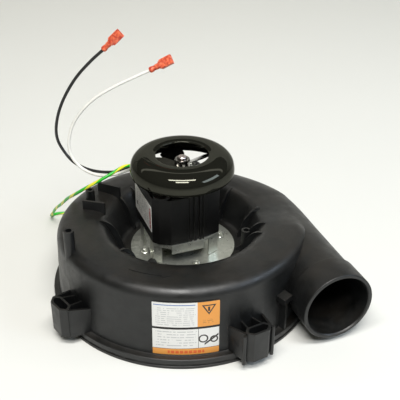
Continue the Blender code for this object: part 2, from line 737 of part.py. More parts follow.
def motor_cap(black, frame):
    """The round cap over the cooling fan: a thin shell, 85 mm across, open in the middle and below."""
    outside = mm((38.4, 109.8), (40.7, 110.2), (42.1, 111.4), (42.5, 113.4), (42.1, 117.2), (40.7, 121.3))
    outside += mm((37.8, 124.8), (33.2, 127), (28.4, 127.6), (23.4, 127), (21.6, 125.9), (21.4, 124.3))
    inside = mm((22.6, 124.2), (23.8, 125.7), (28.4, 126.3), (32.8, 125.7), (36.9, 123.7), (39.8, 120.6))
    inside += mm((41.3, 114.6), (40.4, 111.6), (38.4, 111.0))
    piece("motor_cap", turned(outside + inside, 32), black, frame)


def motor_label(paper, frame):
    piece("motor_label", block(*mm((-32.9, -17.2, 69.5), (-32.6, 26.2, 93.2))), paper, frame)


def side_label(name, finish, frame, start, end, bottom, top):
    """A thin sticker bent round the wall of the housing."""
    steps = 8
    bm = bmesh.new()
    rows = []
    for step in range(steps + 1):
        degrees = lerp(start, end, step / steps)
        row = []
        for lift in (0.3 * MM, 0.6 * MM):
            for z in (bottom, top):
                row.append(bm.verts.new(polar(wall_at(degrees, z) + lift, degrees, z)))
        rows.append(row)
    for row, following in zip(rows, rows[1:]):
        for a, b in ((0, 1), (1, 3), (3, 2), (2, 0)):
            bm.faces.new((row[a], row[b], following[b], following[a]))
    for row in (rows[0], rows[-1]):
        bm.faces.new((row[0], row[1], row[3], row[2]))
    bmesh.ops.recalc_face_normals(bm, faces=bm.faces)
    piece(name, bm, finish, frame)


# ---------------------------------------------------------------- leads


def smooth_route(points, spacing):
    """Points along a centripetal curve through the route's own points."""
    route = [Vector(point) * MM for point in points]
    route = [2 * route[0] - route[1]] + route + [2 * route[-1] - route[-2]]
    made = []
    for before, start, end, after in zip(route, route[1:], route[2:], route[3:]):
        steps = max(1, round((end - start).length / spacing))
        for step in range(steps):
            t = step / steps
            made.append(
                0.5
                * (
                    2 * start
                    + (end - before) * t
                    + (2 * before - 5 * start + 4 * end - after) * t**2
                    + (3 * start - before - 3 * end + after) * t**3
                )
            )
    made.append(route[-2])
    return made


def lead(name, points, finish, frame):
    curve = bpy.data.curves.new(name, "CURVE")
    curve.dimensions = "3D"
    curve.bevel_depth = LEAD_RADIUS
    curve.bevel_resolution = 2
    curve.use_fill_caps = True
    spline = curve.splines.new("POLY")
    places = smooth_route(points, 7.5 * MM)
    spline.points.add(len(places) - 1)
    for point, place in zip(spline.points, places):
        point.co = (*place, 1.0)
    curve.materials.append(finish)
    made = bpy.data.objects.new(name, curve)
    made.parent = frame
    bpy.context.scene.collection.objects.link(made)


def lead_grommet(rubber, frame):
    """The block at the back of the motor that the leads come out of."""
    piece("lead_grommet", block(*mm((-31, 29.8, 95.6), (-13.4, 35.2, 101.8))), rubber, frame)


def pointing(root, tip, facing=(0, 0, 1)):
    """Carries a shape made along +X from the origin to root, pointing at tip, its flat side facing."""
    along = (tip - root).normalized()
    side = Vector(facing).cross(along).normalized()
    up = along.cross(side)
    return Matrix.Translation(root) @ Matrix((along, side, up)).transposed().to_4x4()


def crimp_barrel(outline, sides, place):
    """A turned barrel along +X of the terminal."""
    return moved(turned(outline, sides), place @ Matrix.Rotation(math.radians(90), 4, "Y"))


def spade_terminal(name, route, tip, facing, nylon, brass, frame):
    """A quarter-inch receptacle in its nylon sleeve, at the end of a lead."""
    end = Vector(route[-1]) * MM
    along = (Vector(tip) * MM - end).normalized()
    place = pointing(end + along * GAP, end + along, facing)
    barrel = crimp_barrel(mm((0, 0), (2.4, 0), (2.7, 0.8), (2.7, 9.5), (0, 9.5)), 14, place)
    half = ((4.2, -1.4), (4.2, 1.4), (3.4, 2.2))
    section = ((3.4, -2.2), *half, (-3.4, 2.2), (-4.2, 1.4), (-4.2, -1.4), (-3.4, -2.2))
    hood = extruded(mm(*((7, across, up) for across, up in section)), (14.5 * MM, 0, 0))
    mouth = block(*mm((12, -3.5, -1.5), (23, 3.5, 1.5)))
    piece(f"{name}_sleeve", barrel, nylon, frame, joins=[moved(hood, place)], cuts=[moved(mouth, place)])
    body = block(*mm((12.4, -3.15, -1.15), (20.6, 3.15, 1.15)))
    slot = block(*mm((13.4, -2.6, -0.45), (23, 2.6, 0.45)))
    piece(f"{name}_receptacle", moved(body, place), brass, frame, cuts=[moved(slot, place)])


def ring_terminal(brass, frame):
    """A crimped ring terminal that lies on the floor at the end of the earth lead."""
    end = Vector(GROUND_ROUTE[-1]) * MM
    along = (end - Vector(GROUND_ROUTE[-2]) * MM).normalized()
    place = pointing(end + along * GAP, end + along)
    barrel = crimp_barrel(mm((0, 0), (1.5, 0), (1.5, 5.5), (0, 5.5)), 12, place)
    half = ((4, 1.3), (9, 3.4), (12.5, 3.9), (15.8, 2.4), (16.8, 0))
    outline = half + tuple((x, -y) for x, y in reversed(half[:-1]))
    tongue = moved(prism(mm(*outline), -1.3 * MM, -0.5 * MM), place)
    eye = moved(disc(2.1 * MM, -3 * MM, 3 * MM, 12.7 * MM, sides=12), place)
    piece("ground_ring_terminal", barrel, brass, frame, joins=[tongue], cuts=[eye])


def main():
    clear_scene()
    frame = empty("fan_frame", (AXIS_X, AXIS_Y, 0))
    rotor = empty("rotor_axis", (AXIS_X, AXIS_Y, 0))

    plastic = material("black_moulded_plastic", (0.030, 0.030, 0.032), 0.55)
    dark_plastic = material("impeller_plastic", (0.045, 0.045, 0.048), 0.5)
    enamel = material("gloss_black_enamel", (0.008, 0.008, 0.008), 0.18)
    stack_black = material("black_varnished_stack", (0.012, 0.012, 0.012), 0.35)
    zinc = material("zinc_plated_steel", (0.58, 0.57, 0.50), 0.38, 1.0)
    steel = material("bright_steel", (0.62, 0.61, 0.59), 0.25, 1.0)
    aluminium = material("aluminium", (0.80, 0.80, 0.80), 0.25, 1.0)
    copper = material("copper_winding", (0.75, 0.32, 0.14), 0.35, 1.0)
    bronze = material("sintered_bronze", (0.55, 0.38, 0.20), 0.45, 1.0)
    brass = material("tinned_brass", (0.75, 0.70, 0.60), 0.3, 1.0)
    rubber = material("black_rubber", (0.02, 0.02, 0.02), 0.8)
    nylon = material("red_nylon", (0.80, 0.12, 0.05), 0.35)
    paper = material("silver_label", (0.45, 0.45, 0.42), 0.5)
    sticker = material("white_and_orange_sticker", (0.75, 0.62, 0.45), 0.45)
    black_wire = material("black_insulation", (0.015, 0.015, 0.015), 0.4)
    white_wire = material("white_insulation", (0.75, 0.74, 0.70), 0.4)
    green_wire = material("green_yellow_insulation", (0.05, 0.45, 0.06), 0.4)

    scroll_housing(plastic, frame)
    inlet_plate(plastic, frame)
    housing_seal(rubber, frame)
    cover_screws(zinc, frame)

    impeller(dark_plastic, rotor)
    impeller_clip(steel, rotor)
    rotor_shaft(steel, rotor)
    rotor_core(steel, rotor)
    heat_slinger(aluminium, rotor)
    cooling_fan(aluminium, rotor)

    plate_gasket(rubber, frame)
    motor_plate(zinc, frame)
    plate_screws(zinc, frame)
    lower_bracket(zinc, frame)
    stator_core(stack_black, frame)
    windings(copper, frame)
    upper_bracket(stack_black, frame)
    bearings(bronze, frame)
    motor_bolts(zinc, frame)
    motor_cap(enamel, frame)
    motor_label(paper, frame)
    side_label("upper_side_label", sticker, frame, *LABEL_ANGLES, 35.6 * MM, 59.2 * MM)
    side_label("lower_side_label", sticker, frame, *LABEL_ANGLES, 9.4 * MM, 34.6 * MM)

    lead_grommet(rubber, frame)
    lead("black_lead", BLACK_ROUTE, black_wire, frame)
    lead("white_lead", WHITE_ROUTE, white_wire, frame)
    lead("ground_lead", GROUND_ROUTE, green_wire, frame)
    spade_terminal("black_terminal", BLACK_ROUTE, BLACK_TIP, (-0.3, -0.9, 0.3), nylon, brass, frame)
    spade_terminal("white_terminal", WHITE_ROUTE, WHITE_TIP, (-0.2, -0.7, 0.7), nylon, brass, frame)
    ring_terminal(brass, frame)


main()
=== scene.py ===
"""Looks of the combustion fan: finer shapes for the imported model's nodes, their materials, the
floor, the light and the camera. Metres, +Z up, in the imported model's own frame.

Shapes are modelled about the rotor axis, in the same measures as the CAD, and then carried to it.
"""

import json
import math

import bmesh
import bpy
from mathutils import Matrix, Vector

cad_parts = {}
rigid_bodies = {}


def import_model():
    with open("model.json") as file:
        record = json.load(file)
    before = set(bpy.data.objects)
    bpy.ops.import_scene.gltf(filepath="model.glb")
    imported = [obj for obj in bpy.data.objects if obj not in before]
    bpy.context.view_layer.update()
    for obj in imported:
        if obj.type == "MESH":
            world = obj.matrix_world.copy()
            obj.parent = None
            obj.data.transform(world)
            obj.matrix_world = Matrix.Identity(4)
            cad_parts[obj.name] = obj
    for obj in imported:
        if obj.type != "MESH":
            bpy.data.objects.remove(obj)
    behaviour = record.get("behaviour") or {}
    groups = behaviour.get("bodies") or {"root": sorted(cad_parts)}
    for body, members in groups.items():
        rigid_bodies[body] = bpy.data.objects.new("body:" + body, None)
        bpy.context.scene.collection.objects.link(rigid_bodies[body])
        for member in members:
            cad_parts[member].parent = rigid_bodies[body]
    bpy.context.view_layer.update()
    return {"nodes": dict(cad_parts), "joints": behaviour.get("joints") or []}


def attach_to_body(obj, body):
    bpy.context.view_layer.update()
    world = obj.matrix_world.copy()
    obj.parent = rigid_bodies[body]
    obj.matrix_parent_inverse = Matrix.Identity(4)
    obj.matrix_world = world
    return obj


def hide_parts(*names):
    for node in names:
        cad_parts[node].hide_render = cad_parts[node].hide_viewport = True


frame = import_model()

MM = 0.001
SHARP = math.radians(34)
AXIS = Vector((*frame["joints"][0]["pos_m"][:2], 0))

# Heights above the surface the fan lies on.
PLATE_TOP = 2.6 * MM
FLANGE_BOTTOM = 3.0 * MM
FLANGE_TOP = 9.0 * MM
CREST = 68.5 * MM
MOTOR_PLATE_TOP = 40.4 * MM
MOTOR_BOTTOM = 60.0 * MM
MOTOR_TOP = 102.0 * MM
BRACKET_FLOOR = 40.7 * MM

# The scroll, seen from above, turns clockwise from the tongue to the outlet.
TONGUE_ANGLE = -52.0
OUTLET_TURN = 308.0
SCROLL_START = 104.5 * MM
SCROLL_GROWTH = 5.0 * MM
SCROLL_FLARE = 5.8 * MM
FLANGE_RADIUS = 112.0 * MM
WALL = 3.0 * MM
DRAFT = 1.6 * MM
CORNER_TIGHT = 9.0 * MM
CORNER_ROUND = 28.5 * MM
SCROLL_STEPS = 160

OUTLET_X = 85.8 * MM
OUTLET_Z = 35.5 * MM
OUTLET_FACE = -119.0 * MM
OUTLET_RADIUS = 28.5 * MM
COLLAR_RADIUS = 29.9 * MM
COLLAR_LENGTH = 24.0 * MM
OUTLET_BORE = 26.5 * MM

EAR_ANGLES = (-161.4, -82.2, 38.0, 118.0)
PIN_EAR = 1
EAR_RADIUS = 121.2 * MM
EAR_BOTTOM = 9.6 * MM
EAR_TOP = 36.0 * MM
EAR_FLOOR = 12.0 * MM
EAR_WALL = 1.8 * MM
EAR_BORE = 2.7 * MM

MOTOR_PLATE_RADIUS = 44.4 * MM
SCREW_CIRCLE = 34.0 * MM
PLATE_SCREW_ANGLES = (0, 90, 180, 270)
COVER_SCREW_ANGLES = (-128.0, 160.0, 84.0, 12.0)
COVER_SCREW_INSET = 5.0 * MM
GUSSET_ANGLES = (112, 128, 165, -155, -132, -41, -5, 30, 66)
SHORT_GUSSET_ANGLE = -28
WEB_ANGLE = -63
LABEL_ANGLES = (-122.7, -94.5)
LABEL_GAP = 0.3 * MM
LABEL_FACE = 0.55 * MM
# Degrees, then millimetres: distance, outside, foot and top, and the hole's radius and floor.
HOLLOW_POSTS = (
    (-171, 101, 4.3, 56, 86, 2.5, 70),
    (142, 84, 3.9, 62, 79, 2.0, 69),
    (-27, 54, 4.0, 36.5, 58, 2.3, 44),
)

STACK_X = -3.9 * MM
STACK_Y = 1.0 * MM
BOLT_OFFSET = 19.5 * MM
BOLT_HOLE = 2.2 * MM
SHAFT_RADIUS = 3.97 * MM
ROTOR_RADIUS = 16.0 * MM
BEARING_SEAT = 7.5 * MM

IMPELLER_RADIUS = 59.0 * MM
BLADE_COUNT = 10
COOLING_BLADES = 5

# Leads: the same routes as the CAD's, in millimetres about the rotor axis.
LEAD_RADIUS = 1.35 * MM
GAP = 0.3 * MM
BLACK_ROUTE = (
    (-17.6, 35.6, 99), (-17.6, 39.5, 99), (-21, 47, 96.9), (-33, 55, 91), (-44, 61, 87.2), (-55, 73, 84),
    (-64, 83, 84.4), (-72, 90, 89), (-78.5, 95, 99), (-82, 97, 109), (-82, 98, 120), (-78.5, 98, 134),
    (-72, 96.5, 149), (-62, 94, 165), (-50, 90, 179), (-38.8, 86.9, 189.3),
)
WHITE_ROUTE = (
    (-22.2, 35.6, 99), (-22.2, 38.5, 99), (-26, 43, 97.4), (-35, 46, 94.2), (-44, 50, 90.6), (-55, 61, 86),
    (-66, 72, 88.4), (-73, 79, 96.6), (-75, 83, 105.5), (-73.6, 84.3, 116), (-69, 84.7, 128),
    (-60.4, 82.4, 140.5), (-49, 79, 151.3), (-33.3, 74, 161), (-18, 69, 168.8), (-5.2, 65.3, 174.6),
)
GROUND_ROUTE = (
    (-26.8, 35.6, 99), (-26.8, 38, 99), (-30, 41, 101), (-38, 40.5, 102), (-49, 37, 99.6), (-61, 37, 94.5),
    (-71.5, 42, 87), (-78.5, 51, 78), (-83, 69, 64), (-86, 88, 48), (-87.6, 109, 32), (-88.5, 126, 17),
    (-88.5, 139, 6.5), (-86, 146.5, 2.2), (-79, 148, 1.6), (-70, 145.5, 1.6), (-60, 142, 1.6),
    (-50, 139.4, 1.6),
)
BLACK_TIP = (-23.1, 80.8, 205.6)
WHITE_TIP = (13.3, 58.1, 185.6)


# ---------------------------------------------------------------- numbers and outlines


def lerp(start, end, fraction):
    return start + (end - start) * fraction


def smooth(fraction):
    fraction = min(max(fraction, 0.0), 1.0)
    return fraction * fraction * (3 - 2 * fraction)


def polar(radius, degrees, z=0.0):
    angle = math.radians(degrees)
    return Vector((radius * math.cos(angle), radius * math.sin(angle), z))


def mm(*points):
    """Tuples of millimetres, as tuples of metres."""
    return [tuple(value * MM for value in point) for point in points]


def arc(centre, radius, start, end, steps):
    points = []
    for step in range(steps + 1):
        angle = math.radians(lerp(start, end, step / steps))
        points.append((centre[0] + radius * math.cos(angle), centre[1] + radius * math.sin(angle)))
    return points


def circle(radius, x=0.0, y=0.0, sides=40):
    return arc((x, y), radius, 0, 360, sides)[:-1]


def flowing(points, spacing, count=None):
    """Points on a smooth curve through all the given ones, at about this spacing or count to a gap."""
    route = [Vector(point) for point in points]
    route = [2 * route[0] - route[1]] + route + [2 * route[-1] - route[-2]]
    made = []
    for before, start, end, after in zip(route, route[1:], route[2:], route[3:]):
        steps = count or max(1, round((end - start).length / spacing))
        for step in range(steps):
            t = step / steps
            made.append(
                0.5
                * (
                    2 * start
                    + (end - before) * t
                    + (2 * before - 5 * start + 4 * end - after) * t**2
                    + (3 * start - before - 3 * end + after) * t**3
                )
            )
    made.append(route[-2])
    return made


def curve(points, spacing, count=None):
    """The same curve for an outline, as plain tuples."""
    return [tuple(point) for point in flowing(points, spacing, count)]


def rectangle(half_width, half_height):
    lower = ((-half_width, -half_height), (half_width, -half_height))
    return lower + ((half_width, half_height), (-half_width, half_height))


def rounded(outline, radius, steps=5):
    """A closed flat outline with its corners rounded."""
    corners = [Vector(point) for point in outline]
    made = []
    for before, corner, after in zip(corners[-1:] + corners[:-1], corners, corners[1:] + corners[:1]):
        back = (before - corner).normalized()
        ahead = (after - corner).normalized()
        half_angle = back.angle(ahead) / 2
        room = 0.48 * min((before - corner).length, (after - corner).length)
        reach = min(radius / math.tan(half_angle), room)
        start = corner + back * reach
        end = corner + ahead * reach
        for step in range(steps + 1):
            t = step / steps
            made.append((1 - t) ** 2 * start + 2 * t * (1 - t) * corner + t**2 * end)
    return [tuple(point) for point in made]


# ---------------------------------------------------------------- shapes


def swept(outline_at, segments):
    """A solid round Z: outline_at(degrees) gives its closed (r, z) outline there."""
    bm = bmesh.new()
    columns = []
    for step in range(segments):
        degrees = 360.0 * step / segments
        column = []
        for index, (radius, z) in enumerate(outline_at(degrees)):
            on_axis = radius == 0 and columns
            column.append(columns[0][index] if on_axis else bm.verts.new(polar(radius, degrees, z)))
        columns.append(column)
    for column, following in zip(columns, columns[1:] + columns[:1]):
        for index in range(len(column)):
            after = (index + 1) % len(column)
            corners = (column[index], following[index], following[after], column[after])
            corners = list(dict.fromkeys(corners))
            if len(corners) > 2:
                bm.faces.new(corners)
    bmesh.ops.recalc_face_normals(bm, faces=bm.faces)
    return bm


def turned(outline, segments=64):
    return swept(lambda degrees: outline, segments)


def extruded(points, along):
    """A solid from a flat outline of 3D points, pushed along a vector."""
    bm = bmesh.new()
    near = [bm.verts.new(point) for point in points]
    far = [bm.verts.new(Vector(point) + Vector(along)) for point in points]
    bm.faces.new(near)
    bm.faces.new(far)
    for index in range(len(near)):
        after = (index + 1) % len(near)
        bm.faces.new((near[index], near[after], far[after], far[index]))
    bmesh.ops.recalc_face_normals(bm, faces=bm.faces)
    return bm


def prism(outline, bottom, top):
    return extruded([(point[0], point[1], bottom) for point in outline], (0, 0, top - bottom))


def disc(radius, bottom, top, x=0.0, y=0.0, sides=40):
    return prism(circle(radius, x, y, sides), bottom, top)


def ring(outer, inner, bottom, top, segments=64):
    return turned([(inner, top), (outer, top), (outer, bottom), (inner, bottom)], segments)


def block(low, high):
    corners = [(low[0], low[1]), (high[0], low[1]), (high[0], high[1]), (low[0], high[1])]
    return prism(corners, low[2], high[2])


def fin(degrees, outline, thickness):
    """A flat upright fin in the radial plane at this angle, from its (r, z) outline."""
    across = polar(1, degrees + 90)
    points = [polar(point[0], degrees, point[1]) - across * thickness / 2 for point in outline]
    return extruded(points, across * thickness)


def spun(degrees, axis="Z"):
    return Matrix.Rotation(math.radians(degrees), 4, axis)


def moved(bm, matrix):
    bm.transform(matrix)
    return bm


def post(degrees, radius, outside, bottom, top):
    place = polar(radius, degrees)
    return disc(outside, bottom, top, place.x, place.y)


# ---------------------------------------------------------------- pieces


def mesh_of(name, shape):
    mesh = bpy.data.meshes.new(name)
    shape.to_mesh(mesh)
    shape.free()
    return mesh


def placed(name, data):
    """A new object in the scene."""
    made = bpy.data.objects.new(name, data)
    bpy.context.scene.collection.objects.link(made)
    return made


def boolean_step(body, operation, shapes):
    """The body's mesh, joined with the shapes or cut by them."""
    helpers = bpy.data.collections.new("helpers")
    bpy.context.scene.collection.children.link(helpers)
    for shape in shapes:
        helpers.objects.link(bpy.data.objects.new("helper", mesh_of("helper", shape)))
    modifier = body.modifiers.new("step", "BOOLEAN")
    modifier.operation = operation
    modifier.operand_type = "COLLECTION"
    modifier.collection = helpers
    modifier.solver = "EXACT"
    bpy.context.view_layer.update()
    graph = bpy.context.evaluated_depsgraph_get()
    body.data = bpy.data.meshes.new_from_object(body.evaluated_get(graph))
    body.modifiers.clear()
    for helper in list(helpers.objects):
        bpy.data.objects.remove(helper)
    bpy.data.collections.remove(helpers)


def piece(name, shape, finish, nodes, body="fan", joins=(), cuts=(), late_joins=(), late_cuts=(), edge=0.0,
          place=(0, 0, 0)):
    """One visible piece, made about the rotor axis, that stands for the CAD nodes named.

    edge is the width in millimetres of the small bevel on its sharp edges.
    """
    made = placed(name, mesh_of(name, shape))
    steps = (("UNION", joins), ("DIFFERENCE", cuts), ("UNION", late_joins), ("DIFFERENCE", late_cuts))
    for operation, shapes in steps:
        if shapes:
            boolean_step(made, operation, shapes)
    cleaned = bmesh.new()
    cleaned.from_mesh(made.data)
    bmesh.ops.remove_doubles(cleaned, verts=cleaned.verts, dist=0.01 * MM)
    cleaned.to_mesh(made.data)
    cleaned.free()
    made.data.shade_smooth()
    made.data.set_sharp_from_angle(angle=SHARP)
    made.data.materials.clear()
    made.data.materials.append(finish)
    if edge:
        bevel = made.modifiers.new("edges", "BEVEL")
        bevel.width = edge * MM
        bevel.segments = 2
        bevel.limit_method = "ANGLE"
        bevel.angle_limit = math.radians(40)
        bevel.harden_normals = True
        bevel.miter_outer = "MITER_ARC"
    made.location = AXIS + Vector(place)
    attach(made, nodes, body)
    return made


def attach(made, nodes, body="fan"):
    """The piece rides a body, and the CAD nodes that it stands for are hidden."""
    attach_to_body(made, body)
    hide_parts(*nodes)


def repaint(node, finish):
    """A CAD node whose shape is right keeps it and gets a finished material."""
    shown = frame["nodes"][node]
    shown.data.materials.clear()
    shown.data.materials.append(finish)


# ---------------------------------------------------------------- materials


class Field:
    """A number that varies over a surface, with ordinary arithmetic made of Math nodes."""

    def __init__(self, finish, socket):
        self.finish = finish
        self.socket = socket

    def apply(self, operation, *others):
        return self.finish.math(operation, self, *others)

    def __add__(self, other):
        return self.apply("ADD", other)

    def __sub__(self, other):
        return self.apply("SUBTRACT", other)

    def __mul__(self, other):
        return self.apply("MULTIPLY", other)

    def over(self, edge):
        return self.apply("GREATER_THAN", edge)

    def under(self, edge):
        return self.apply("LESS_THAN", edge)

    def between(self, low, high):
        return self.over(low) * self.under(high)

    def repeated(self, period):
        return self.apply("FLOORED_MODULO", period)

    def length(self, other):
        return (self * self + other * other).apply("SQRT")

    def either(self, other):
        return self.apply("MAXIMUM", other)

    def inverted(self):
        return self.apply("MULTIPLY_ADD", -1.0, 1.0)


class Finish:
    """A material under construction, with short calls for the nodes that it needs."""

    def __init__(self, name, colour, roughness, metallic=0.0, **sockets):
        self.material = bpy.data.materials.new(name)
        self.material.use_nodes = True
        self.tree = self.material.node_tree
        self.shader = self.tree.nodes["Principled BSDF"]
        self.set("Base Color", (*colour, 1.0))
        self.set("Roughness", roughness)
        self.set("Metallic", metallic)
        for socket, value in sockets.items():
            self.set(socket.replace("_", " "), value)
        self.where = self.node("TexCoord")
        self.normal = None

    def feed(self, target, value):
        if isinstance(value, Field):
            self.tree.links.new(value.socket, target)
        else:
            target.default_value = value

    def set(self, socket, value):
        self.feed(self.shader.inputs[socket], value)

    def node(self, kind, source=None, target=0):
        """A new node, fed by the source if there is one."""
        node = self.tree.nodes.new("ShaderNode" + kind)
        if source:
            self.tree.links.new(source, node.inputs[target])
        return node

    def math(self, operation, *values):
        node = self.node("Math")
        node.operation = operation
        for target, value in zip(node.inputs, values):
            self.feed(target, value)
        return Field(self, node.outputs[0])

    def axes(self, kind="Object"):
        """The three coordinates of a point: Object ones are metres about the rotor axis."""
        node = self.node("SeparateXYZ", self.where.outputs[kind])
        return [Field(self, output) for output in node.outputs]

    def facing_up(self):
        """-1 on faces that look down, 1 on faces that look up."""
        node = self.node("SeparateXYZ", self.node("NewGeometry").outputs["Normal"])
        return Field(self, node.outputs[2])

    def noise(self, size, detail=3.0, distortion=0.0, stretch=(1, 1, 1), kind="Object"):
        """Noise with features of about this size in millimetres, longer where stretch is small."""
        mapping = self.node("Mapping", self.where.outputs[kind])
        mapping.inputs["Scale"].default_value = stretch
        node = self.node("TexNoise", mapping.outputs[0], "Vector")
        for socket, value in (("Scale", 1000.0 / size), ("Detail", detail), ("Distortion", distortion)):
            node.inputs[socket].default_value = value
        return Field(self, node.outputs[0])

    def cells(self, size):
        """A different value for each cell, of about this size in millimetres."""
        node = self.node("TexVoronoi", self.where.outputs["Object"], "Vector")
        node.inputs["Scale"].default_value = 1000.0 / size
        return Field(self, self.node("SeparateColor", node.outputs["Color"]).outputs[0])

    def level(self, value, low, high, start=0.0, end=1.0):
        """The value mapped from start..end to low..high, and clamped."""
        node = self.node("MapRange", value.socket, "Value")
        for socket, edge in (("From Min", start), ("From Max", end), ("To Min", low), ("To Max", high)):
            node.inputs[socket].default_value = edge
        return Field(self, node.outputs[0])

    def blend(self, factor, first, second):
        """The first colour where factor is 0, and the second where it is 1."""
        node = self.node("Mix")
        node.data_type = "RGBA"
        self.feed(node.inputs[0], factor)
        for target, colour in ((node.inputs[6], first), (node.inputs[7], second)):
            self.feed(target, colour if isinstance(colour, Field) else (*colour, 1.0))
        return Field(self, node.outputs[2])

    def bump(self, height, depth):
        """Adds relief, depth in millimetres for a height that goes from 0 to 1."""
        node = self.node("Bump")
        node.inputs["Distance"].default_value = depth * MM
        self.feed(node.inputs["Height"], height)
        if self.normal:
            self.tree.links.new(self.normal, node.inputs["Normal"])
        self.normal = node.outputs[0]
        self.tree.links.new(self.normal, self.shader.inputs["Normal"])


def moulded_plastic():
    made = Finish("moulded_plastic_look", (0.005, 0.005, 0.005), 0.45, Specular_IOR_Level=0.56)
    mottle = made.level(made.noise(26, 4, 0.6), 0, 1, 0.36, 0.66)
    # painted light: faces that look up get a lighter, warmer tone, and faces that look down or sideways get a darker,
    # cooler one; the large mottle is the plastic's own uneven tone
    painted_light_top = made.blend(mottle, (0.0036, 0.0038, 0.0034), (0.0105, 0.0088, 0.0066))
    cool = made.blend(mottle, (0.0026, 0.0029, 0.0030), (0.0052, 0.0058, 0.0060))
    made.set("Base Color", made.blend(made.level(made.facing_up(), 0, 1, 0.25, 0.9), cool, painted_light_top))
    rough = made.level(made.noise(9, 5, 0.3), 0.36, 0.52, 0.3, 0.7)
    scuffs = made.level(made.noise(1.2, 3, 0, (1, 0.06, 1)), 0, 0.07, 0.62, 0.75)
    made.set("Roughness", rough + scuffs)
    made.bump(made.noise(0.45, 2), 0.035)
    made.bump(made.noise(5.0, 3), 0.10)
    return made.material


def clouded(name, colour, roughness, metallic, clouds, tints, sheen, span, relief, depth, reach=None):
    """A finish with a clouded colour, an uneven roughness and a fine relief.

    clouds, sheen and relief are noises, and reach is the part of the first one's range that counts.
    """
    made = Finish(name, colour, roughness, metallic)
    factor = made.noise(*clouds)
    if reach:
        factor = made.level(factor, 0, 1, *reach)
    made.set("Base Color", made.blend(factor, *tints))
    made.set("Roughness", made.level(made.noise(*sheen), *span))
    made.bump(made.noise(*relief), depth)
    return made.material


def inner_plastic():
    tints = (0.03, 0.03, 0.032), (0.055, 0.055, 0.058)
    return clouded("filled_plastic_look", (0.04, 0.04, 0.043), 0.5, 0.0, (3, 5), tints, (1.5, 4), (0.38, 0.62),
                   (0.6, 3), 0.04)


def bright_steel():
    tints = (0.44, 0.38, 0.36), (0.62, 0.55, 0.52)
    rings = (0.35, 2, 0, (0.02, 0.02, 1))
    return clouded("bright_steel_look", (0.62, 0.60, 0.58), 0.26, 1.0, (4, 3), tints, rings, (0.16, 0.4), rings, 0.006)


def dark_steel():
    tints = (0.22, 0.21, 0.22), (0.38, 0.36, 0.34)
    return clouded("dark_steel_look", (0.30, 0.29, 0.29), 0.4, 1.0, (3, 5, 0.5), tints, (1.2, 3), (0.28, 0.55),
                   (0.5, 2, 0, (1, 1, 0.1)), 0.01)


def bright_aluminium():
    tints = (0.20, 0.19, 0.165), (0.34, 0.33, 0.31)
    grain = (0.6, 3, 0, (1, 0.05, 1))
    return clouded("aluminium_look", (0.30, 0.29, 0.27), 0.2, 1.0, (6, 4), tints, grain, (0.08, 0.24), grain, 0.006)


def sintered_bronze():
    tints = (0.36, 0.24, 0.12), (0.60, 0.43, 0.24)
    pores = (0.5, 2)
    return clouded("sintered_bronze_look", (0.50, 0.34, 0.18), 0.5, 1.0, pores, tints, pores, (0.38, 0.66), pores, 0.03)


def tinned_brass():
    tints = (0.80, 0.78, 0.71), (0.70, 0.55, 0.28)
    return clouded("tinned_brass_look", (0.78, 0.74, 0.64), 0.28, 1.0, (1.6, 4, 0.4), tints, (0.8, 3), (0.2, 0.42),
                   (0.5, 2), 0.01, (0.5, 0.72))


def black_rubber():
    tints = (0.014, 0.014, 0.014), (0.034, 0.034, 0.033)
    return clouded("black_rubber_look", (0.018, 0.018, 0.018), 0.75, 0.0, (4, 5), tints, (0.9, 3), (0.62, 0.88),
                   (0.4, 3), 0.04, (0.45, 0.75))


def insulation(name, colour, pale, roughness):
    """PVC lead insulation, slightly uneven."""
    span = (roughness - 0.08, roughness + 0.1)
    return clouded(name, colour, roughness, 0.0, (5, 4, 0.3), (colour, pale), (1.8, 3), span, (0.9, 2), 0.02)


def gloss_enamel():
    """Deep gloss black, its mirror image kept dim towards the rim as on the real enamel."""
    made = Finish("gloss_enamel_look", (0.034, 0.034, 0.028), 0.04, 0.78)
    made.set("Specular Tint", (0.5, 0.5, 0.48, 1.0))
    dust = made.level(made.noise(0.8, 2), 0, 1, 0.71, 0.78)
    made.set("Base Color", made.blend(dust, (0.034, 0.034, 0.0265), (0.07, 0.068, 0.058)))
    made.set("Roughness", made.level(made.noise(14, 4), 0.02, 0.055))
    made.bump(made.noise(3.2, 2), 0.006)
    return made.material


def varnished_stack():
    """Black varnish over stacked laminations, whose edges show as fine level lines."""
    made = Finish("varnished_stack_look", (0.004, 0.004, 0.004), 0.34, Specular_IOR_Level=0.34)
    z = made.axes()[2]
    layer = z.repeated(0.65 * MM) * (1 / (0.65 * MM))
    edges = layer.apply("PINGPONG", 0.5) * 2.0
    runs = made.noise(7, 3, 0.2, (1, 1, 0.25))
    made.set("Base Color", made.blend(runs, (0.002, 0.002, 0.002), (0.006, 0.0058, 0.0056)))
    made.set("Roughness", made.level(made.noise(2.5, 4), 0.24, 0.46))
    made.bump(edges, 0.05)
    made.bump(made.noise(1.1, 2, 0, (1, 1, 0.3)), 0.05)
    return made.material


def zinc_plate():
    """Zinc plating with its blotchy spangle and fine wiping marks, and painted shade: darker and clouded towards -X,
    bright towards +X.
    """
    tint = (0.66, 0.68, 0.60)
    made = Finish("zinc_plate_look", tint, 0.34, 0.82)
    clouds = made.level(made.noise(5.5, 6, 1.4), 0, 1, 0.32, 0.68)
    painted_shade_tint = tuple(value * 0.62 for value in tint)
    spangle = made.level(made.cells(2.6), 0, 0.35)
    # painted shade: the plating is darkened towards -X, where less light falls, and left bright towards +X
    shade = made.level(made.axes()[0], 0.0, 0.75, -0.035, 0.03)
    mixed = made.blend(shade, made.blend(clouds, tuple(value * 0.45 for value in tint), painted_shade_tint), tint)
    made.set("Base Color", made.blend(spangle, mixed, (0.78, 0.78, 0.72)))
    made.set("Roughness", made.level(made.noise(3.5, 5, 0.8), 0.20, 0.42))
    made.bump(made.noise(0.7, 3, 0, (1, 0.12, 1)), 0.012)
    made.bump(made.noise(9, 2), 0.05)
    return made.material


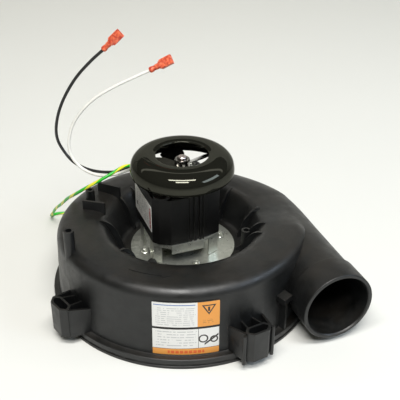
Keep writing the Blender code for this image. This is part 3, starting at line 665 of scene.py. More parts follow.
def wound_copper():
    """Varnished copper, with the strands of the winding round the bobbin."""
    made = Finish("wound_copper_look", (0.72, 0.30, 0.13), 0.35, 1.0, Coat_Weight=0.5)
    z = made.axes()[2]
    strands = (z * (1 / (0.7 * MM))).apply("PINGPONG", 0.5) * 2.0
    made.set("Base Color", made.blend(made.noise(2, 4), (0.50, 0.19, 0.08), (0.80, 0.36, 0.17)))
    made.set("Roughness", made.level(made.noise(1.5, 2), 0.25, 0.45))
    made.bump(strands, 0.2)
    return made.material


def red_nylon():
    """Thin tinted nylon: paler where it is thick with light, and glossy."""
    made = Finish("red_nylon_look", (0.62, 0.09, 0.04), 0.3, Subsurface_Weight=0.4, Subsurface_Scale=0.002,
                  Coat_Weight=0.2)
    made.set("Subsurface Radius", (1.0, 0.35, 0.2))
    glow = made.level(made.noise(2.4, 4, 0.5), 0, 1, 0.38, 0.62)
    made.set("Base Color", made.blend(glow, (0.40, 0.032, 0.016), (0.74, 0.17, 0.075)))
    made.set("Roughness", made.level(made.noise(1.4, 3), 0.22, 0.42))
    made.bump(made.noise(1.0, 2), 0.03)
    return made.material


def striped_insulation():
    """Green insulation with a yellow stripe that wanders slowly round the lead. UV x is metres along it."""
    made = Finish("green_yellow_look", (0.04, 0.36, 0.05), 0.34)
    along, around, _ = made.axes("UV")
    turn = (around + along * 34.0).repeated(1.0)
    stripe = turn.between(0.28, 0.66)
    mottle = made.noise(4, 3)
    green = made.blend(mottle, (0.006, 0.30, 0.010), (0.02, 0.52, 0.025))
    yellow = made.blend(mottle, (0.62, 0.60, 0.02), (0.80, 0.78, 0.06))
    made.set("Base Color", made.blend(stripe, green, yellow))
    made.set("Roughness", made.level(made.noise(1.8, 3), 0.28, 0.44))
    made.bump(made.noise(0.9, 2), 0.02)
    return made.material


WHITE_PRINT = (0.72, 0.72, 0.70)
ORANGE_PRINT = (0.70, 0.30, 0.065)
GREY_INK = (0.36, 0.37, 0.38)
BLACK_INK = (0.035, 0.033, 0.03)
BLUE_INK = (0.12, 0.20, 0.42)


def printed_rows(made, along, up, left, right, bottom, top, pitch):
    """Rows of short grey bars, as of small print seen from far off. All in millimetres."""
    row = ((up - bottom) * (1 / pitch)).repeated(1.0).between(0.30, 0.62)
    words = made.noise(1.5, 0, 0, (1, 0.28, 1), "UV").over(0.43)
    ends = made.noise(5.5, 0, 0, (0.02, 1, 1), "UV") * 9.0
    field = along.over(left) * (along + ends).under(right + 4.5) * up.between(bottom, top)
    return row * words * field


def sticker_base(name, width, height):
    """A sticker's finish, its face's coordinates in millimetres, its border and its paper. UV is in metres."""
    made = Finish(name, WHITE_PRINT, 0.42, Specular_IOR_Level=0.4)
    x, y, _ = made.axes("UV")
    along = x * 1000.0
    up = y * 1000.0
    edge = along.between(0.5, width - 0.5) * up.between(0.5, height - 0.5)
    made.set("Roughness", made.level(made.noise(3, 4), 0.34, 0.52))
    made.bump(made.noise(2.2, 3), 0.02)
    paper = made.blend(made.noise(8, 3), (0.66, 0.66, 0.64), (0.74, 0.74, 0.72))
    return made, along, up, edge.inverted(), paper


def upper_sticker(width, height, split):
    """White field of grey rows, and an orange field with a plain outlined triangle."""
    made, along, up, border, paper = sticker_base("upper_sticker_look", width, height)
    rows = printed_rows(made, along, up, 3.0, split - 2.0, 1.8, height - 4.2, 1.9)
    small = printed_rows(made, along, up, split + 4.0, width - 5.0, 3.2, 7.0, 1.6)
    rule = along.between(1.6, split - 1.6) * up.between(height - 3.1, height - 2.3)
    orange = along.over(split)
    middle = (split + width) / 2
    side = (along - middle).apply("ABSOLUTE")
    low = height - 12.6
    tall = height - 3.4
    # A triangle on its point: its half width grows with the height above the point.
    reach = (up - low) * 0.60
    inside = (reach - side).over(0.0) * up.under(tall)
    hollow = (reach - side).over(1.15) * up.under(tall - 1.0)
    bar = side.under(0.8) * up.between(low + 3.4, tall - 1.9)
    ink = (inside - hollow).either(bar)
    colour = made.blend(orange, paper, ORANGE_PRINT)
    colour = made.blend(rows * 0.75, colour, GREY_INK)
    colour = made.blend(small * 0.5, colour, BLACK_INK)
    colour = made.blend(rule, colour, BLUE_INK)
    colour = made.blend(ink.either(border), colour, BLACK_INK)
    made.set("Base Color", colour)
    return made.material


def lower_sticker(width, height, split, band):
    """White field of grey rows, a box with plain rings beside it, and an orange band below."""
    made, along, up, border, paper = sticker_base("lower_sticker_look", width, height)
    rows = printed_rows(made, along, up, 3.0, split - 2.0, band + 2.0, height - 2.4, 2.6)
    divider = along.between(split, split + 0.35) * up.over(band)
    lines = divider.either(up.between(band, band + 0.35))
    for x, y, radius in ((3.9, 9.0, 3.4), (12.2, 7.6, 2.8)):
        away = (along - (split + x)).length(up - (band + y))
        lines = lines.either(away.between(radius - 0.75, radius + 0.45))
    rise = (along - split - 7.6) * 0.75 - (up - band - 5.6)
    lines = lines.either(rise.apply("ABSOLUTE").under(0.95) * (along - split).between(4.8, 15.6))
    colour = made.blend(up.under(band), paper, ORANGE_PRINT)
    dashes = up.between(band * 0.26, band * 0.72) * along.between(12, width - 12)
    dashes = dashes * along.repeated(3.4).over(0.9)
    colour = made.blend(dashes * 0.8, colour, (0.62, 0.07, 0.02))
    colour = made.blend(rows * 0.72, colour, GREY_INK)
    colour = made.blend(lines.either(border), colour, BLACK_INK)
    made.set("Base Color", colour)
    return made.material


def foil_label():
    """Silver label: mottled foil, faint blocks of print, one dark mark and one red bar."""
    made = Finish("foil_label_look", (0.40, 0.40, 0.38), 0.42, 0.35)
    _, y, z = made.axes()
    along = y * 1000.0
    up = z * 1000.0
    foil = made.blend(made.noise(2.4, 5, 0.6), (0.58, 0.57, 0.55), (0.92, 0.90, 0.86))
    row = (up * (1 / 1.9)).repeated(1.0).between(0.25, 0.7)
    words = made.noise(1.5, 1, 0, (1, 0.5, 0.2)).over(0.49)
    print_area = along.between(-9.5, 22.5) * up.between(71.5, 91.0)
    red = along.between(-15.4, -12.6) * up.between(72.0, 90.5) * made.noise(1.4, 1).over(0.36)
    mark = along.between(20.2, 22.8) * up.between(75.0, 78.5)
    colour = made.blend(row * words * print_area * 0.55, foil, (0.13, 0.13, 0.13))
    colour = made.blend(red, colour, (0.50, 0.03, 0.03))
    colour = made.blend(mark, colour, (0.05, 0.05, 0.05))
    field = along.between(-16.5, 25.5) * up.between(70.2, 92.5)
    colour = made.blend(field.inverted(), colour, (0.93, 0.92, 0.88))
    made.set("Base Color", colour)
    made.set("Roughness", made.level(made.noise(1.1, 4), 0.34, 0.56))
    made.bump(made.noise(1.3, 3), 0.02)
    return made.material


def stage_paper(name, colour):
    made = Finish(name, colour, 0.85, Specular_IOR_Level=0.2)
    darker = tuple(value * 0.985 for value in colour)
    made.set("Base Color", made.blend(made.noise(180, 3), darker, colour))
    made.bump(made.noise(1.5, 3), 0.02)
    return made.material


# ---------------------------------------------------------------- camera and leads


def place_camera():
    """The camera stands where the fan was seen from, and is rolled very slightly."""
    lens = bpy.data.cameras.new("camera")
    lens.lens = 69.7
    lens.sensor_width = 36.0
    camera = placed("camera", lens)
    ahead = Vector((0.310, 0.799, -0.515)).normalized()
    right = ahead.cross(Vector((0, 0, 1))).normalized()
    up = right.cross(ahead)
    roll = math.radians(-0.38)
    rolled_right = right * math.cos(roll) - up * math.sin(roll)
    rolled_up = right * math.sin(roll) + up * math.cos(roll)
    turn = Matrix((rolled_right, rolled_up, -ahead)).transposed().to_4x4()
    place = AXIS + Vector((-186.3, -520.6, 416.0)) * MM
    camera.matrix_world = Matrix.Translation(place) @ turn
    bpy.context.scene.camera = camera


def tube_mesh(name, path, radius, sides=16):
    """A round tube along a path, its ends closed. UV x is metres along it, and y goes once round it."""
    bm = bmesh.new()
    uv = bm.loops.layers.uv.new("along")
    side = (path[1] - path[0]).orthogonal().normalized()
    rings = []
    distances = [0.0]
    for index, place in enumerate(path):
        ahead = (path[min(index + 1, len(path) - 1)] - path[max(index - 1, 0)]).normalized()
        side = (side - ahead * side.dot(ahead)).normalized()
        over = ahead.cross(side)
        made = []
        for number in range(sides):
            angle = 2 * math.pi * number / sides
            made.append(bm.verts.new(place + radius * (side * math.cos(angle) + over * math.sin(angle))))
        rings.append(made)
        if index:
            distances.append(distances[-1] + (place - path[index - 1]).length)
    for index in range(len(rings) - 1):
        for number in range(sides):
            after = (number + 1) % sides
            face = bm.faces.new(
                (rings[index][number], rings[index][after], rings[index + 1][after], rings[index + 1][number])
            )
            places = ((index, number), (index, number + 1), (index + 1, number + 1), (index + 1, number))
            for loop, (step, turn) in zip(face.loops, places):
                loop[uv].uv = (distances[step], turn / sides)
    bm.faces.new(rings[0])
    bm.faces.new(rings[-1])
    bmesh.ops.recalc_face_normals(bm, faces=bm.faces)
    return mesh_of(name, bm), distances[-1]


def lead(name, node, route, finish):
    """One lead on its route, as a round tube."""
    path = flowing(mm(*route), 1.5 * MM)
    mesh, length = tube_mesh(name, path, LEAD_RADIUS)
    mesh.shade_smooth()
    mesh.set_sharp_from_angle(angle=math.radians(60))
    mesh.materials.append(finish)
    made = placed(name, mesh)
    made.location = AXIS
    attach(made, [node])
    line = [point + AXIS for point in path]


def pointing(root, tip, facing=(0, 0, 1)):
    """Carries a shape made along +X from the origin to root, pointing at tip, its flat side facing."""
    along = (tip - root).normalized()
    side = Vector(facing).cross(along).normalized()
    up = along.cross(side)
    return Matrix.Translation(root) @ Matrix((along, side, up)).transposed().to_4x4()


ALONG_X = spun(90, "Y")


def lengthwise(section, start, end):
    """A prism along X from its (y, z) section, in millimetres."""
    points = mm(*((start, across, up) for across, up in section))
    return extruded(points, ((end - start) * MM, 0, 0))


def spade_terminal(name, route, tip, facing, nylon, brass):
    """A quarter-inch receptacle with rolled edges, in a nylon sleeve with a round crimped barrel."""
    end = Vector(route[-1]) * MM
    along = (Vector(tip) * MM - end).normalized()
    place = pointing(end + along * GAP, end + along, facing)
    crimp = mm((2.3, 0.15), (2.6, 1.0), (2.6, 2.6), (2.25, 3.8), (2.2, 5.2), (2.5, 6.6), (2.45, 8.6))
    barrel = [(0, 0.05 * MM), (2.1 * MM, 0.05 * MM)] + curve(crimp, 0.4 * MM) + mm((2.5, 11.5), (0, 11.5))
    hood = lengthwise(rounded(rectangle(4.15, 2.15), 1.1), 10.6, 21.4)
    shoulder = lengthwise(rounded(rectangle(3.2, 1.95), 1.2), 9.2, 11.6)
    rib = lengthwise(((-0.4, 2.0), (0.4, 2.0), (0.4, 2.2), (-0.4, 2.2)), 11.6, 20.4)
    mouth = lengthwise(rounded(rectangle(3.5, 1.5), 0.7), 12.0, 23.0)
    parts = [moved(shape, place) for shape in (hood, shoulder, rib)]
    sleeve = piece(
        f"{name}_sleeve_piece", moved(turned(barrel, 40), place @ ALONG_X), nylon, [f"{name}_sleeve"],
        joins=parts, cuts=[moved(mouth, place)], edge=0.22,
    )
    body = lengthwise(rounded(rectangle(3.15, 1.15), 0.8), 12.4, 20.6)
    slot = lengthwise(rounded(rectangle(2.7, 0.45), 0.4), 13.4, 23.0)
    seam = lengthwise(((-0.25, 0.2), (0.25, 0.2), (0.25, 2.0), (-0.25, 2.0)), 13.4, 23.0)
    receptacle = piece(
        f"{name}_receptacle_piece", moved(body, place), brass, [f"{name}_receptacle"],
        cuts=[moved(slot, place), moved(seam, place)], edge=0.08,
    )
    return [sleeve, receptacle]


def ring_terminal(brass):
    """A crimped ring terminal that lies on the floor at the end of the earth lead."""
    end = Vector(GROUND_ROUTE[-1]) * MM
    along = (end - Vector(GROUND_ROUTE[-2]) * MM).normalized()
    place = pointing(end + along * GAP, end + along)
    crimp = mm((1.42, 0.1), (1.48, 1.4), (1.30, 2.6), (1.30, 3.4), (1.48, 4.4), (1.45, 5.5))
    barrel = [(0, 0.1 * MM)] + curve(crimp, 0.3 * MM) + [(0, 5.5 * MM)]
    half = ((4, 1.3), (8.6, 2.3), (9.6, 3.0), (11.0, 3.7), (12.7, 3.9), (14.6, 3.35), (16.0, 2.1), (16.6, 0))
    outline = half + tuple((x, -y) for x, y in reversed(half[:-1]))
    tongue = moved(prism(mm(*outline), -1.3 * MM, -0.5 * MM), place)
    eye = moved(disc(2.1 * MM, -3 * MM, 3 * MM, 12.7 * MM, sides=40), place)
    body = moved(turned(barrel, 32), place @ ALONG_X)
    return [piece("ground_ring_piece", body, brass, ["ground_ring_terminal"], joins=[tongue], cuts=[eye], edge=0.1)]


def lead_grommet(rubber):
    """The block that the leads come out of, with a collar round each."""
    outline = rounded(mm((-31, 29.8), (-13.4, 29.8), (-13.4, 34.6), (-31, 34.6)), 1.2 * MM)
    body = prism(outline, 95.6 * MM, 101.8 * MM)
    collars = []
    for route in (BLACK_ROUTE, WHITE_ROUTE, GROUND_ROUTE):
        x, _, z = route[0]
        turn = Matrix.Translation(Vector((x, 34.0, z)) * MM) @ spun(-90, "X")
        collars.append(moved(turned(mm((0, 0), (2.1, 0), (1.9, 1.2), (0, 1.2)), 32), turn))
    piece("lead_outlet_block", body, rubber, ["lead_grommet"], joins=collars, edge=0.3)


# ---------------------------------------------------------------- scroll housing


def scroll_turn(degrees):
    return (TONGUE_ANGLE - degrees) % 360.0


def scroll_blend(degrees):
    """0 at the tongue, rising clockwise to 1 at the outlet, and back to 0 behind the tube."""
    turn = scroll_turn(degrees)
    if turn <= OUTLET_TURN:
        return turn / OUTLET_TURN
    return 1 - smooth((turn - OUTLET_TURN) / (360.0 - OUTLET_TURN))


def wall_radius(degrees):
    blend = scroll_blend(degrees)
    return SCROLL_START + SCROLL_GROWTH * blend**2 + SCROLL_FLARE * smooth((blend - 0.86) / 0.14)


def corner_radius(degrees):
    return lerp(CORNER_TIGHT, CORNER_ROUND, smooth((scroll_blend(degrees) - 0.25) / 0.75))


def crest_height(degrees):
    return CREST - 2.5 * MM * smooth((scroll_blend(degrees) - 0.4) / 0.6)


def flange_radius(degrees):
    return max(FLANGE_RADIUS, wall_radius(degrees) + DRAFT + 2.4 * MM)


def wall_at(degrees, z):
    """Outside radius of the drafted wall at this height."""
    return wall_radius(degrees) + DRAFT * max(0.0, (CREST - CORNER_TIGHT - z) / (CREST - CORNER_TIGHT))


def housing_outline(degrees):
    radius = wall_radius(degrees)
    corner = corner_radius(degrees)
    crest = crest_height(degrees)
    flange = flange_radius(degrees)
    foot = radius + DRAFT
    middle = (radius - corner, crest - corner)
    rise = mm((51.2, 38.05), (54.4, 40.6), (59.5, 53.0), (65.2, 63.6))
    rise += [(70.5 * MM, crest - 1.1 * MM), (77 * MM, crest - 0.04 * MM)]
    outside = mm((22, 38), (49.5, 38)) + curve(rise, 0, 5)
    outside += arc(middle, corner, 90, 0, 14)
    outside += [(foot, FLANGE_TOP + 1.2 * MM), (foot + 0.35 * MM, FLANGE_TOP + 0.35 * MM)]
    outside += [(foot + 1.2 * MM, FLANGE_TOP), (flange - 0.5 * MM, FLANGE_TOP)]
    outside += [(flange, FLANGE_TOP - 0.5 * MM), (flange, 4.7 * MM)]
    rabbet = [(flange - 2.6 * MM, 4.7 * MM), (flange - 2.6 * MM, FLANGE_BOTTOM)]
    inside = [(foot - WALL, FLANGE_BOTTOM)]
    inside += arc(middle, corner - WALL, 0, 90, 8)
    inside += [(71.0 * MM, crest - 4.0 * MM)]
    inside += mm((62.3, 51.5), (54.6, 35), (22, 35))
    return outside + rabbet + inside


def gusset(degrees, foot):
    """A rib that stiffens the well, its upper edge arched. foot is its inner radius in millimetres."""
    crest = crest_height(degrees) / MM
    arch = mm((68.5, crest - 0.8), (65.4, crest - 1.4), (61.2, crest - 3.9), (57.4, crest - 8.4))
    arch += mm((54.7, 54.6), (52.4, 48.6), (50.9, 44.0), (foot, 40.2))
    outline = mm((72, crest - 1.6)) + curve(arch, 1.2 * MM)
    outline += mm((foot, 36.5), (57, 36.5), (60, 46.5), (67, 60))
    return fin(degrees, outline, 1.8 * MM)


def ear_point(degrees, out, across):
    """A place beside an ear's bore: out from the rotor axis, and across."""
    return polar(EAR_RADIUS + out, degrees) + polar(across, degrees + 90)


def ear_prism(degrees, inset, bottom, top):
    half = (
        (5.6 * MM - inset, 6.4 * MM - 0.6 * inset),
        (0.6 * MM, 11.6 * MM - 1.3 * inset),
        (inset - 4.4 * MM, 7.4 * MM - 0.7 * inset),
    )
    points = [ear_point(degrees, out, across) for out, across in half]
    points += [ear_point(degrees, out, -across) for out, across in reversed(half)]
    return prism(rounded([(point.x, point.y) for point in points], 1.6 * MM), bottom, top)


def ear_fin(degrees, start, end, end_top, thickness):
    near = ear_point(degrees, *start)
    far = ear_point(degrees, *end)
    along = (far - near).normalized()
    across = Vector((-along.y, along.x, 0)) * thickness
    foot = Vector((0, 0, EAR_BOTTOM - 0.9 * MM))
    near_top = Vector((0, 0, EAR_TOP - 0.4 * MM))
    outline = [near + foot, far + foot, far + Vector((0, 0, end_top)), near + near_top]
    return extruded([point - across / 2 for point in outline], across)


def ear_fins(degrees):
    fins = []
    for side in (-1, 1):
        wing_start = (0.4 * MM, side * 10.8 * MM)
        wing_end = (-18.6 * MM, side * 15.4 * MM)
        fins.append(ear_fin(degrees, wing_start, wing_end, 31 * MM, 1.8 * MM))
        rib_start = (-4.0 * MM, side * 6.2 * MM)
        rib_end = (-16.8 * MM, side * 4.6 * MM)
        fins.append(ear_fin(degrees, rib_start, rib_end, 33 * MM, 1.4 * MM))
    return fins


def ear_pins(degrees):
    pins = []
    for side in (-1, 1):
        place = ear_point(degrees, 1.6 * MM, side * 12.4 * MM)
        pins.append(disc(1.6 * MM, 7.0 * MM, 34.5 * MM, place.x, place.y, 24))
    return pins


def angle_wall(start, end):
    """A low L-shaped wall standing on the ring, with a short leg turned outwards at its start."""
    start = Vector(start) * MM
    end = Vector(end) * MM
    along = (end - start).normalized()
    across = Vector((-along.y, along.x))
    thick = 1.8 * MM
    leg = 4.0 * MM
    outline = [start, end, end + across * thick, start + (along + across) * thick]
    outline += [start + along * thick + across * leg, start + across * leg]
    return prism([(point.x, point.y) for point in outline], 62 * MM, 76.5 * MM)


def direction_arrow():
    """A low raised arrow on the ring that shows which way the rotor turns."""
    outline = arc((0, 0), 86.4 * MM, -138, -120, 12)
    outline += [tuple(polar(88.6 * MM, -120))[:2], tuple(polar(85.2 * MM, -115.5))[:2]]
    outline += [tuple(polar(81.8 * MM, -120))[:2]]
    outline += arc((0, 0), 84.0 * MM, -120, -138, 12)
    return prism(outline, CREST - 1 * MM, CREST + 0.35 * MM)


def outlet_placement():
    """Carries a shape turned about Z to the outlet's axis, with its own Z along +Y."""
    return Matrix.Translation((OUTLET_X, 0, OUTLET_Z)) @ spun(-90, "X")


def outlet_tube():
    collar_back = OUTLET_FACE + COLLAR_LENGTH
    outline = [(0.0, OUTLET_FACE), (COLLAR_RADIUS - 0.9 * MM, OUTLET_FACE)]
    outline += arc((COLLAR_RADIUS - 0.9 * MM, OUTLET_FACE + 0.9 * MM), 0.9 * MM, -80, 0, 4)
    outline += [(COLLAR_RADIUS, collar_back), (OUTLET_RADIUS + 0.25 * MM, collar_back + 0.3 * MM)]
    tail = mm((28.5, -94), (28.5, -78), (28.8, -55), (29.4, -30), (29.8, -13))
    tail += mm((29.1, -1), (26.0, 11), (19.5, 24))
    outline += curve(tail, 2.5 * MM) + [(0.0, 26 * MM)]
    return moved(turned(outline, 112), outlet_placement())


def outlet_bore():
    start = OUTLET_FACE - 3 * MM
    outline = [(0.0, start), (OUTLET_BORE + 0.7 * MM, start), (OUTLET_BORE + 0.7 * MM, OUTLET_FACE)]
    outline += [(OUTLET_BORE, OUTLET_FACE + 1.0 * MM), (OUTLET_BORE, -4 * MM), (0.0, -4 * MM)]
    return moved(turned(outline, 112), outlet_placement())


def gas_way_outline(degrees):
    """The room inside the scroll, a little smaller all round than the shell that encloses it."""
    gap = 0.4 * MM
    corner = corner_radius(degrees)
    crest = crest_height(degrees)
    radius = wall_radius(degrees)
    outer = radius + DRAFT - WALL - gap
    outline = [(48 * MM, 1 * MM), (outer, 1 * MM)]
    outline += arc((radius - corner, crest - corner), corner - WALL - gap, 0, 90, 8)
    outline += [(71.0 * MM + gap, crest - 4.0 * MM - 1.5 * gap)]
    return outline + mm((62.8, 51.3), (54.9, 34.5), (48, 34.5))


def cover_screw_place(degrees):
    return polar(wall_radius(degrees) - COVER_SCREW_INSET, degrees)


def cover_screw_disc(degrees, radius, bottom, top):
    return post(degrees, wall_radius(degrees) - COVER_SCREW_INSET, radius, bottom, top)


def plate_screw_holes(radius, bottom, top):
    return [post(degrees, SCREW_CIRCLE, radius, bottom, top) for degrees in PLATE_SCREW_ANGLES]


def scroll_housing(plastic):
    joins = [outlet_tube(), gusset(SHORT_GUSSET_ANGLE, 45.6), direction_arrow()]
    joins += [gusset(degrees, 49.5) for degrees in GUSSET_ANGLES]
    for degrees in EAR_ANGLES:
        joins += [ear_prism(degrees, 0.0, EAR_BOTTOM, EAR_TOP)]
        joins += [ear_prism(degrees, 1.2 * MM, EAR_BOTTOM - 1.2 * MM, EAR_BOTTOM + 1 * MM)]
        joins += ear_fins(degrees)
    joins += ear_pins(EAR_ANGLES[PIN_EAR])
    for degrees, distance, outside, foot, top, _, _ in HOLLOW_POSTS:
        joins.append(post(degrees, distance * MM, outside * MM, foot * MM, top * MM))
    joins += [angle_wall((-76, 40), (-59.6, 29)), angle_wall((-56, 66), (-40.5, 50))]
    joins += [fin(WEB_ANGLE, mm((102, 5.4), (111.6, 5.4), (111.6, 37), (102, 37)), 2.4 * MM)]
    joins += [fin(WEB_ANGLE, mm((102, 36), (113, 36), (113, 40.5), (102, 42)), 10.0 * MM)]
    cuts = [outlet_bore(), swept(gas_way_outline, SCROLL_STEPS)]
    cuts += [ear_prism(degrees, EAR_WALL, EAR_FLOOR, EAR_TOP + 5 * MM) for degrees in EAR_ANGLES]
    boss_bottom = FLANGE_BOTTOM + 0.4 * MM
    bosses = [cover_screw_disc(degrees, 4.4 * MM, boss_bottom, 24 * MM) for degrees in COVER_SCREW_ANGLES]
    holes = plate_screw_holes(2.3 * MM, 30 * MM, 45 * MM)
    holes += [cover_screw_disc(degrees, 2.0 * MM, 0.0, 20 * MM) for degrees in COVER_SCREW_ANGLES]
    for degrees, distance, _, _, _, bore, floor in HOLLOW_POSTS:
        holes.append(post(degrees, distance * MM, bore * MM, floor * MM, 95 * MM))
    holes += [post(degrees, EAR_RADIUS, EAR_BORE, -2 * MM, 50 * MM) for degrees in EAR_ANGLES]
    shape = swept(housing_outline, SCROLL_STEPS)
    soften(piece("housing_shell", shape, plastic, ["scroll_housing"], "fan", joins, cuts, bosses, holes, edge=0.4), 14)


def soften(made, rounds):
    """Eases the crease where the outlet tube grows out of the scroll, on the upper side only."""
    bm = bmesh.new()
    bm.from_mesh(made.data)
    low = Vector((64, -46, 46)) * MM
    high = Vector((119, 14, 72)) * MM
    near = [vertex for vertex in bm.verts if all(low[axis] < vertex.co[axis] < high[axis] for axis in range(3))]
    for _ in range(rounds):
        bmesh.ops.smooth_vert(bm, verts=near, factor=0.5, use_axis_x=True, use_axis_y=True, use_axis_z=True)
    bm.to_mesh(made.data)
    bm.free()
    made.data.set_sharp_from_angle(angle=SHARP)


def inlet_plate_outline(degrees):
    edge = flange_radius(degrees)
    over = curve(mm((36.3, 8.6), (37.8, 4.8), (40.0, 3.1), (42.2, 2.62)), 0.8 * MM)
    under = curve(mm((42.5, 0.0), (38.6, 0.9), (36.2, 2.9), (34.9, 5.4), (34.5, 8.2)), 0.8 * MM)
    lip = mm((34.5, 8.5), (34.9, 8.8), (35.9, 8.8))
    outside = [(edge - 0.3 * MM, PLATE_TOP), (edge, PLATE_TOP - 0.3 * MM)]
    outside += [(edge, 0.4 * MM), (edge - 0.4 * MM, 0.0)]
    return lip + over + outside + under[:-1]


def inlet_plate(plastic):
    cuts = []
    for degrees in COVER_SCREW_ANGLES:
        cuts.append(cover_screw_disc(degrees, 2.1 * MM, -2 * MM, 6 * MM))
        cuts.append(cover_screw_disc(degrees, 4.3 * MM, -2 * MM, 1.6 * MM))
    piece("inlet_cover", swept(inlet_plate_outline, SCROLL_STEPS), plastic, ["inlet_plate"], cuts=cuts, edge=0.15)


def pan_screw(name, node, place, zinc):
    """A pan-head screw seen from below, with a cross recess."""
    head = [(0, 1.3), (3.2, 1.3), (3.75, 1.0), (3.7, 0.62), (3.2, 0.32), (2.2, 0.2), (0, 0.2)]
    cross = [block(*mm((-1.7, -0.3, -1), (1.7, 0.3, 0.9))), block(*mm((-0.3, -1.7, -1), (0.3, 1.7, 0.9)))]
    shank = disc(1.7 * MM, 0.8 * MM, 17 * MM, sides=24)
    piece(name, turned(mm(*head), 40), zinc, [node], joins=[shank], cuts=cross, edge=0.06, place=place)


def hexagon_screw(name, node, place, zinc, washer, head, shank):
    """A hexagon-head screw, its upper corners turned off.

    washer is its (r, z) outline in millimetres; head and shank are (r, low, high).
    """
    across, bottom, top = (value * MM for value in head)
    low = bottom - 1 * MM
    keep = [(0, top + 0.01 * MM), (across * 0.86, top + 0.01 * MM), (across * 1.02, top - 0.45 * MM)]
    keep += [(across * 1.02, low), (0, low)]
    made = placed("head", mesh_of("head", disc(across, bottom, top, sides=6)))
    boolean_step(made, "INTERSECT", [turned(keep, 48)])
    cap = bmesh.new()
    cap.from_mesh(made.data)
    bpy.data.objects.remove(made)
    dimple = turned(mm((0, head[2] + 1), (1.3, head[2] + 1), (1.3, head[2] - 0.1), (0, head[2] - 0.35)), 32)
    rod = disc(shank[0] * MM, shank[1] * MM, shank[2] * MM, sides=24)
    piece(name, turned(mm(*washer), 48), zinc, [node], joins=[cap, rod], cuts=[dimple], edge=0.1, place=place)


# ---------------------------------------------------------------- rotor


def impeller_blade(degrees):
    """One backward-curved blade, from above a thin strip along an arc."""
    thickness = 0.9 * MM
    steps = 10
    centres = []
    for step in range(steps + 1):
        radius = lerp(30 * MM, IMPELLER_RADIUS - 1 * MM, step / steps)
        centres.append(polar(radius, degrees + 34 * (step / steps) ** 0.8))
    left = []
    right = []
    for index, centre in enumerate(centres):
        ahead = centres[min(index + 1, steps)] - centres[max(index - 1, 0)]
        side = Vector((-ahead.y, ahead.x, 0)).normalized() * thickness / 2
        left.append(centre + side)
        right.append(centre - side)
    return prism([(point.x, point.y) for point in left + right[::-1]], 10.6 * MM, 31 * MM)


def impeller(plastic):
    back = mm((4.27, 33.6), (8.0, 33.6), (8.4, 33.2), (9.2, 31.8), (58.6, 31.8), (59, 31.4), (59, 30.4))
    back += mm((9.6, 30.4), (8.9, 29.4), (8.4, 14.8), (8.0, 14.4), (4.27, 14.4))
    shroud = turned(mm((37.5, 10.2), (38.5, 11.6), (58.6, 13.2), (58.6, 12.0), (39, 10.2)), 96)
    joins = [impeller_blade(360 * number / BLADE_COUNT) for number in range(BLADE_COUNT)] + [shroud]
    joins += [fin(60 * number, mm((7, 15.5), (9.8, 20), (14, 31), (7, 31)), 1.0 * MM) for number in range(6)]
    piece("impeller_wheel", turned(back, 96), plastic, ["impeller"], "rotor", joins, edge=0.15)


def cooling_blade(turn):
    """One pitched, slightly dished blade of the motor's own fan."""
    outline = mm((5.4, -4.2), (14, -8.2), (32.0, -9.2), (33.3, -2))
    outline += mm((32.8, 5), (30.6, 9.0), (14, 7.4), (5.4, 4.2))
    blade = prism(rounded(outline, 2.0 * MM, 4), -0.4 * MM, 0.4 * MM)
    pitch = Matrix.Translation((0, 0, 116.6 * MM)) @ spun(-27, "X")
    return moved(blade, spun(turn) @ pitch)


def rotor(steel, dark, aluminium, plastic):
    tip = curve(mm((3.97, 123.4), (3.75, 124.3), (3.0, 125.1), (1.6, 125.65), (0.4, 125.79)), 0.3 * MM)
    shaft = mm((0, 11), (3.4, 11), (3.97, 11.6)) + tip + [(0, 125.8 * MM)]
    piece("shaft_rod", turned(shaft, 48), steel, ["rotor_shaft"], "rotor")
    core = ring(ROTOR_RADIUS, SHAFT_RADIUS + GAP, 66 * MM, 96 * MM, 72)
    slots = [moved(block(*mm((15.5, -0.35, 69), (17, 0.35, 93))), spun(15 * number)) for number in range(24)]
    piece("rotor_body", core, dark, ["rotor_core"], "rotor", cuts=slots, edge=0.3)
    impeller(plastic)
    opening = block(*mm((2, -1.2, 10), (10, 1.2, 16)))
    clip = ring(7.0 * MM, SHAFT_RADIUS + GAP, 12.4 * MM, 13.8 * MM, 48)
    piece("hub_clip", clip, dark, ["impeller_clip"], "rotor", cuts=[opening], edge=0.2)
    slinger = mm((4.27, 49.6), (6.8, 49.6), (7.0, 49.3), (7.4, 47.9), (18, 47.4), (18.5, 46.9))
    slinger += mm((18.6, 46.2), (7.4, 46.2), (7, 44), (4.27, 44))
    piece("slinger_disc", turned(slinger, 72), aluminium, ["heat_slinger"], "rotor", edge=0.12)
    hub = turned(mm((4.27, 123.0), (5.6, 123.0), (6.1, 122.6), (6.4, 121.5), (6.4, 112.4), (4.27, 112.4)), 56)
    blades = [cooling_blade(20 + 360 * number / COOLING_BLADES) for number in range(COOLING_BLADES)]
    piece("cooling_fan_wheel", hub, aluminium, ["cooling_fan"], "rotor", blades, edge=0.12)


# ---------------------------------------------------------------- motor


def bolt_places():
    for side_x, side_y in ((-1, -1), (1, -1), (1, 1), (-1, 1)):
        yield STACK_X + side_x * BOLT_OFFSET, STACK_Y + side_y * BOLT_OFFSET


def bolt_holes(bottom, top):
    return [disc(BOLT_HOLE, bottom, top, x, y, 24) for x, y in bolt_places()]


def motor_plate(zinc):
    cuts = plate_screw_holes(2.4 * MM, 30 * MM, 50 * MM)
    cuts += [post(degrees, 45.2 * MM, 2.4 * MM, 30 * MM, 50 * MM) for degrees in (-112, 68)]
    body = ring(MOTOR_PLATE_RADIUS, 9 * MM, MOTOR_PLATE_TOP - 1.2 * MM, MOTOR_PLATE_TOP, 128)
    piece("motor_mounting_plate", body, zinc, ["motor_plate"], cuts=cuts, edge=0.2)


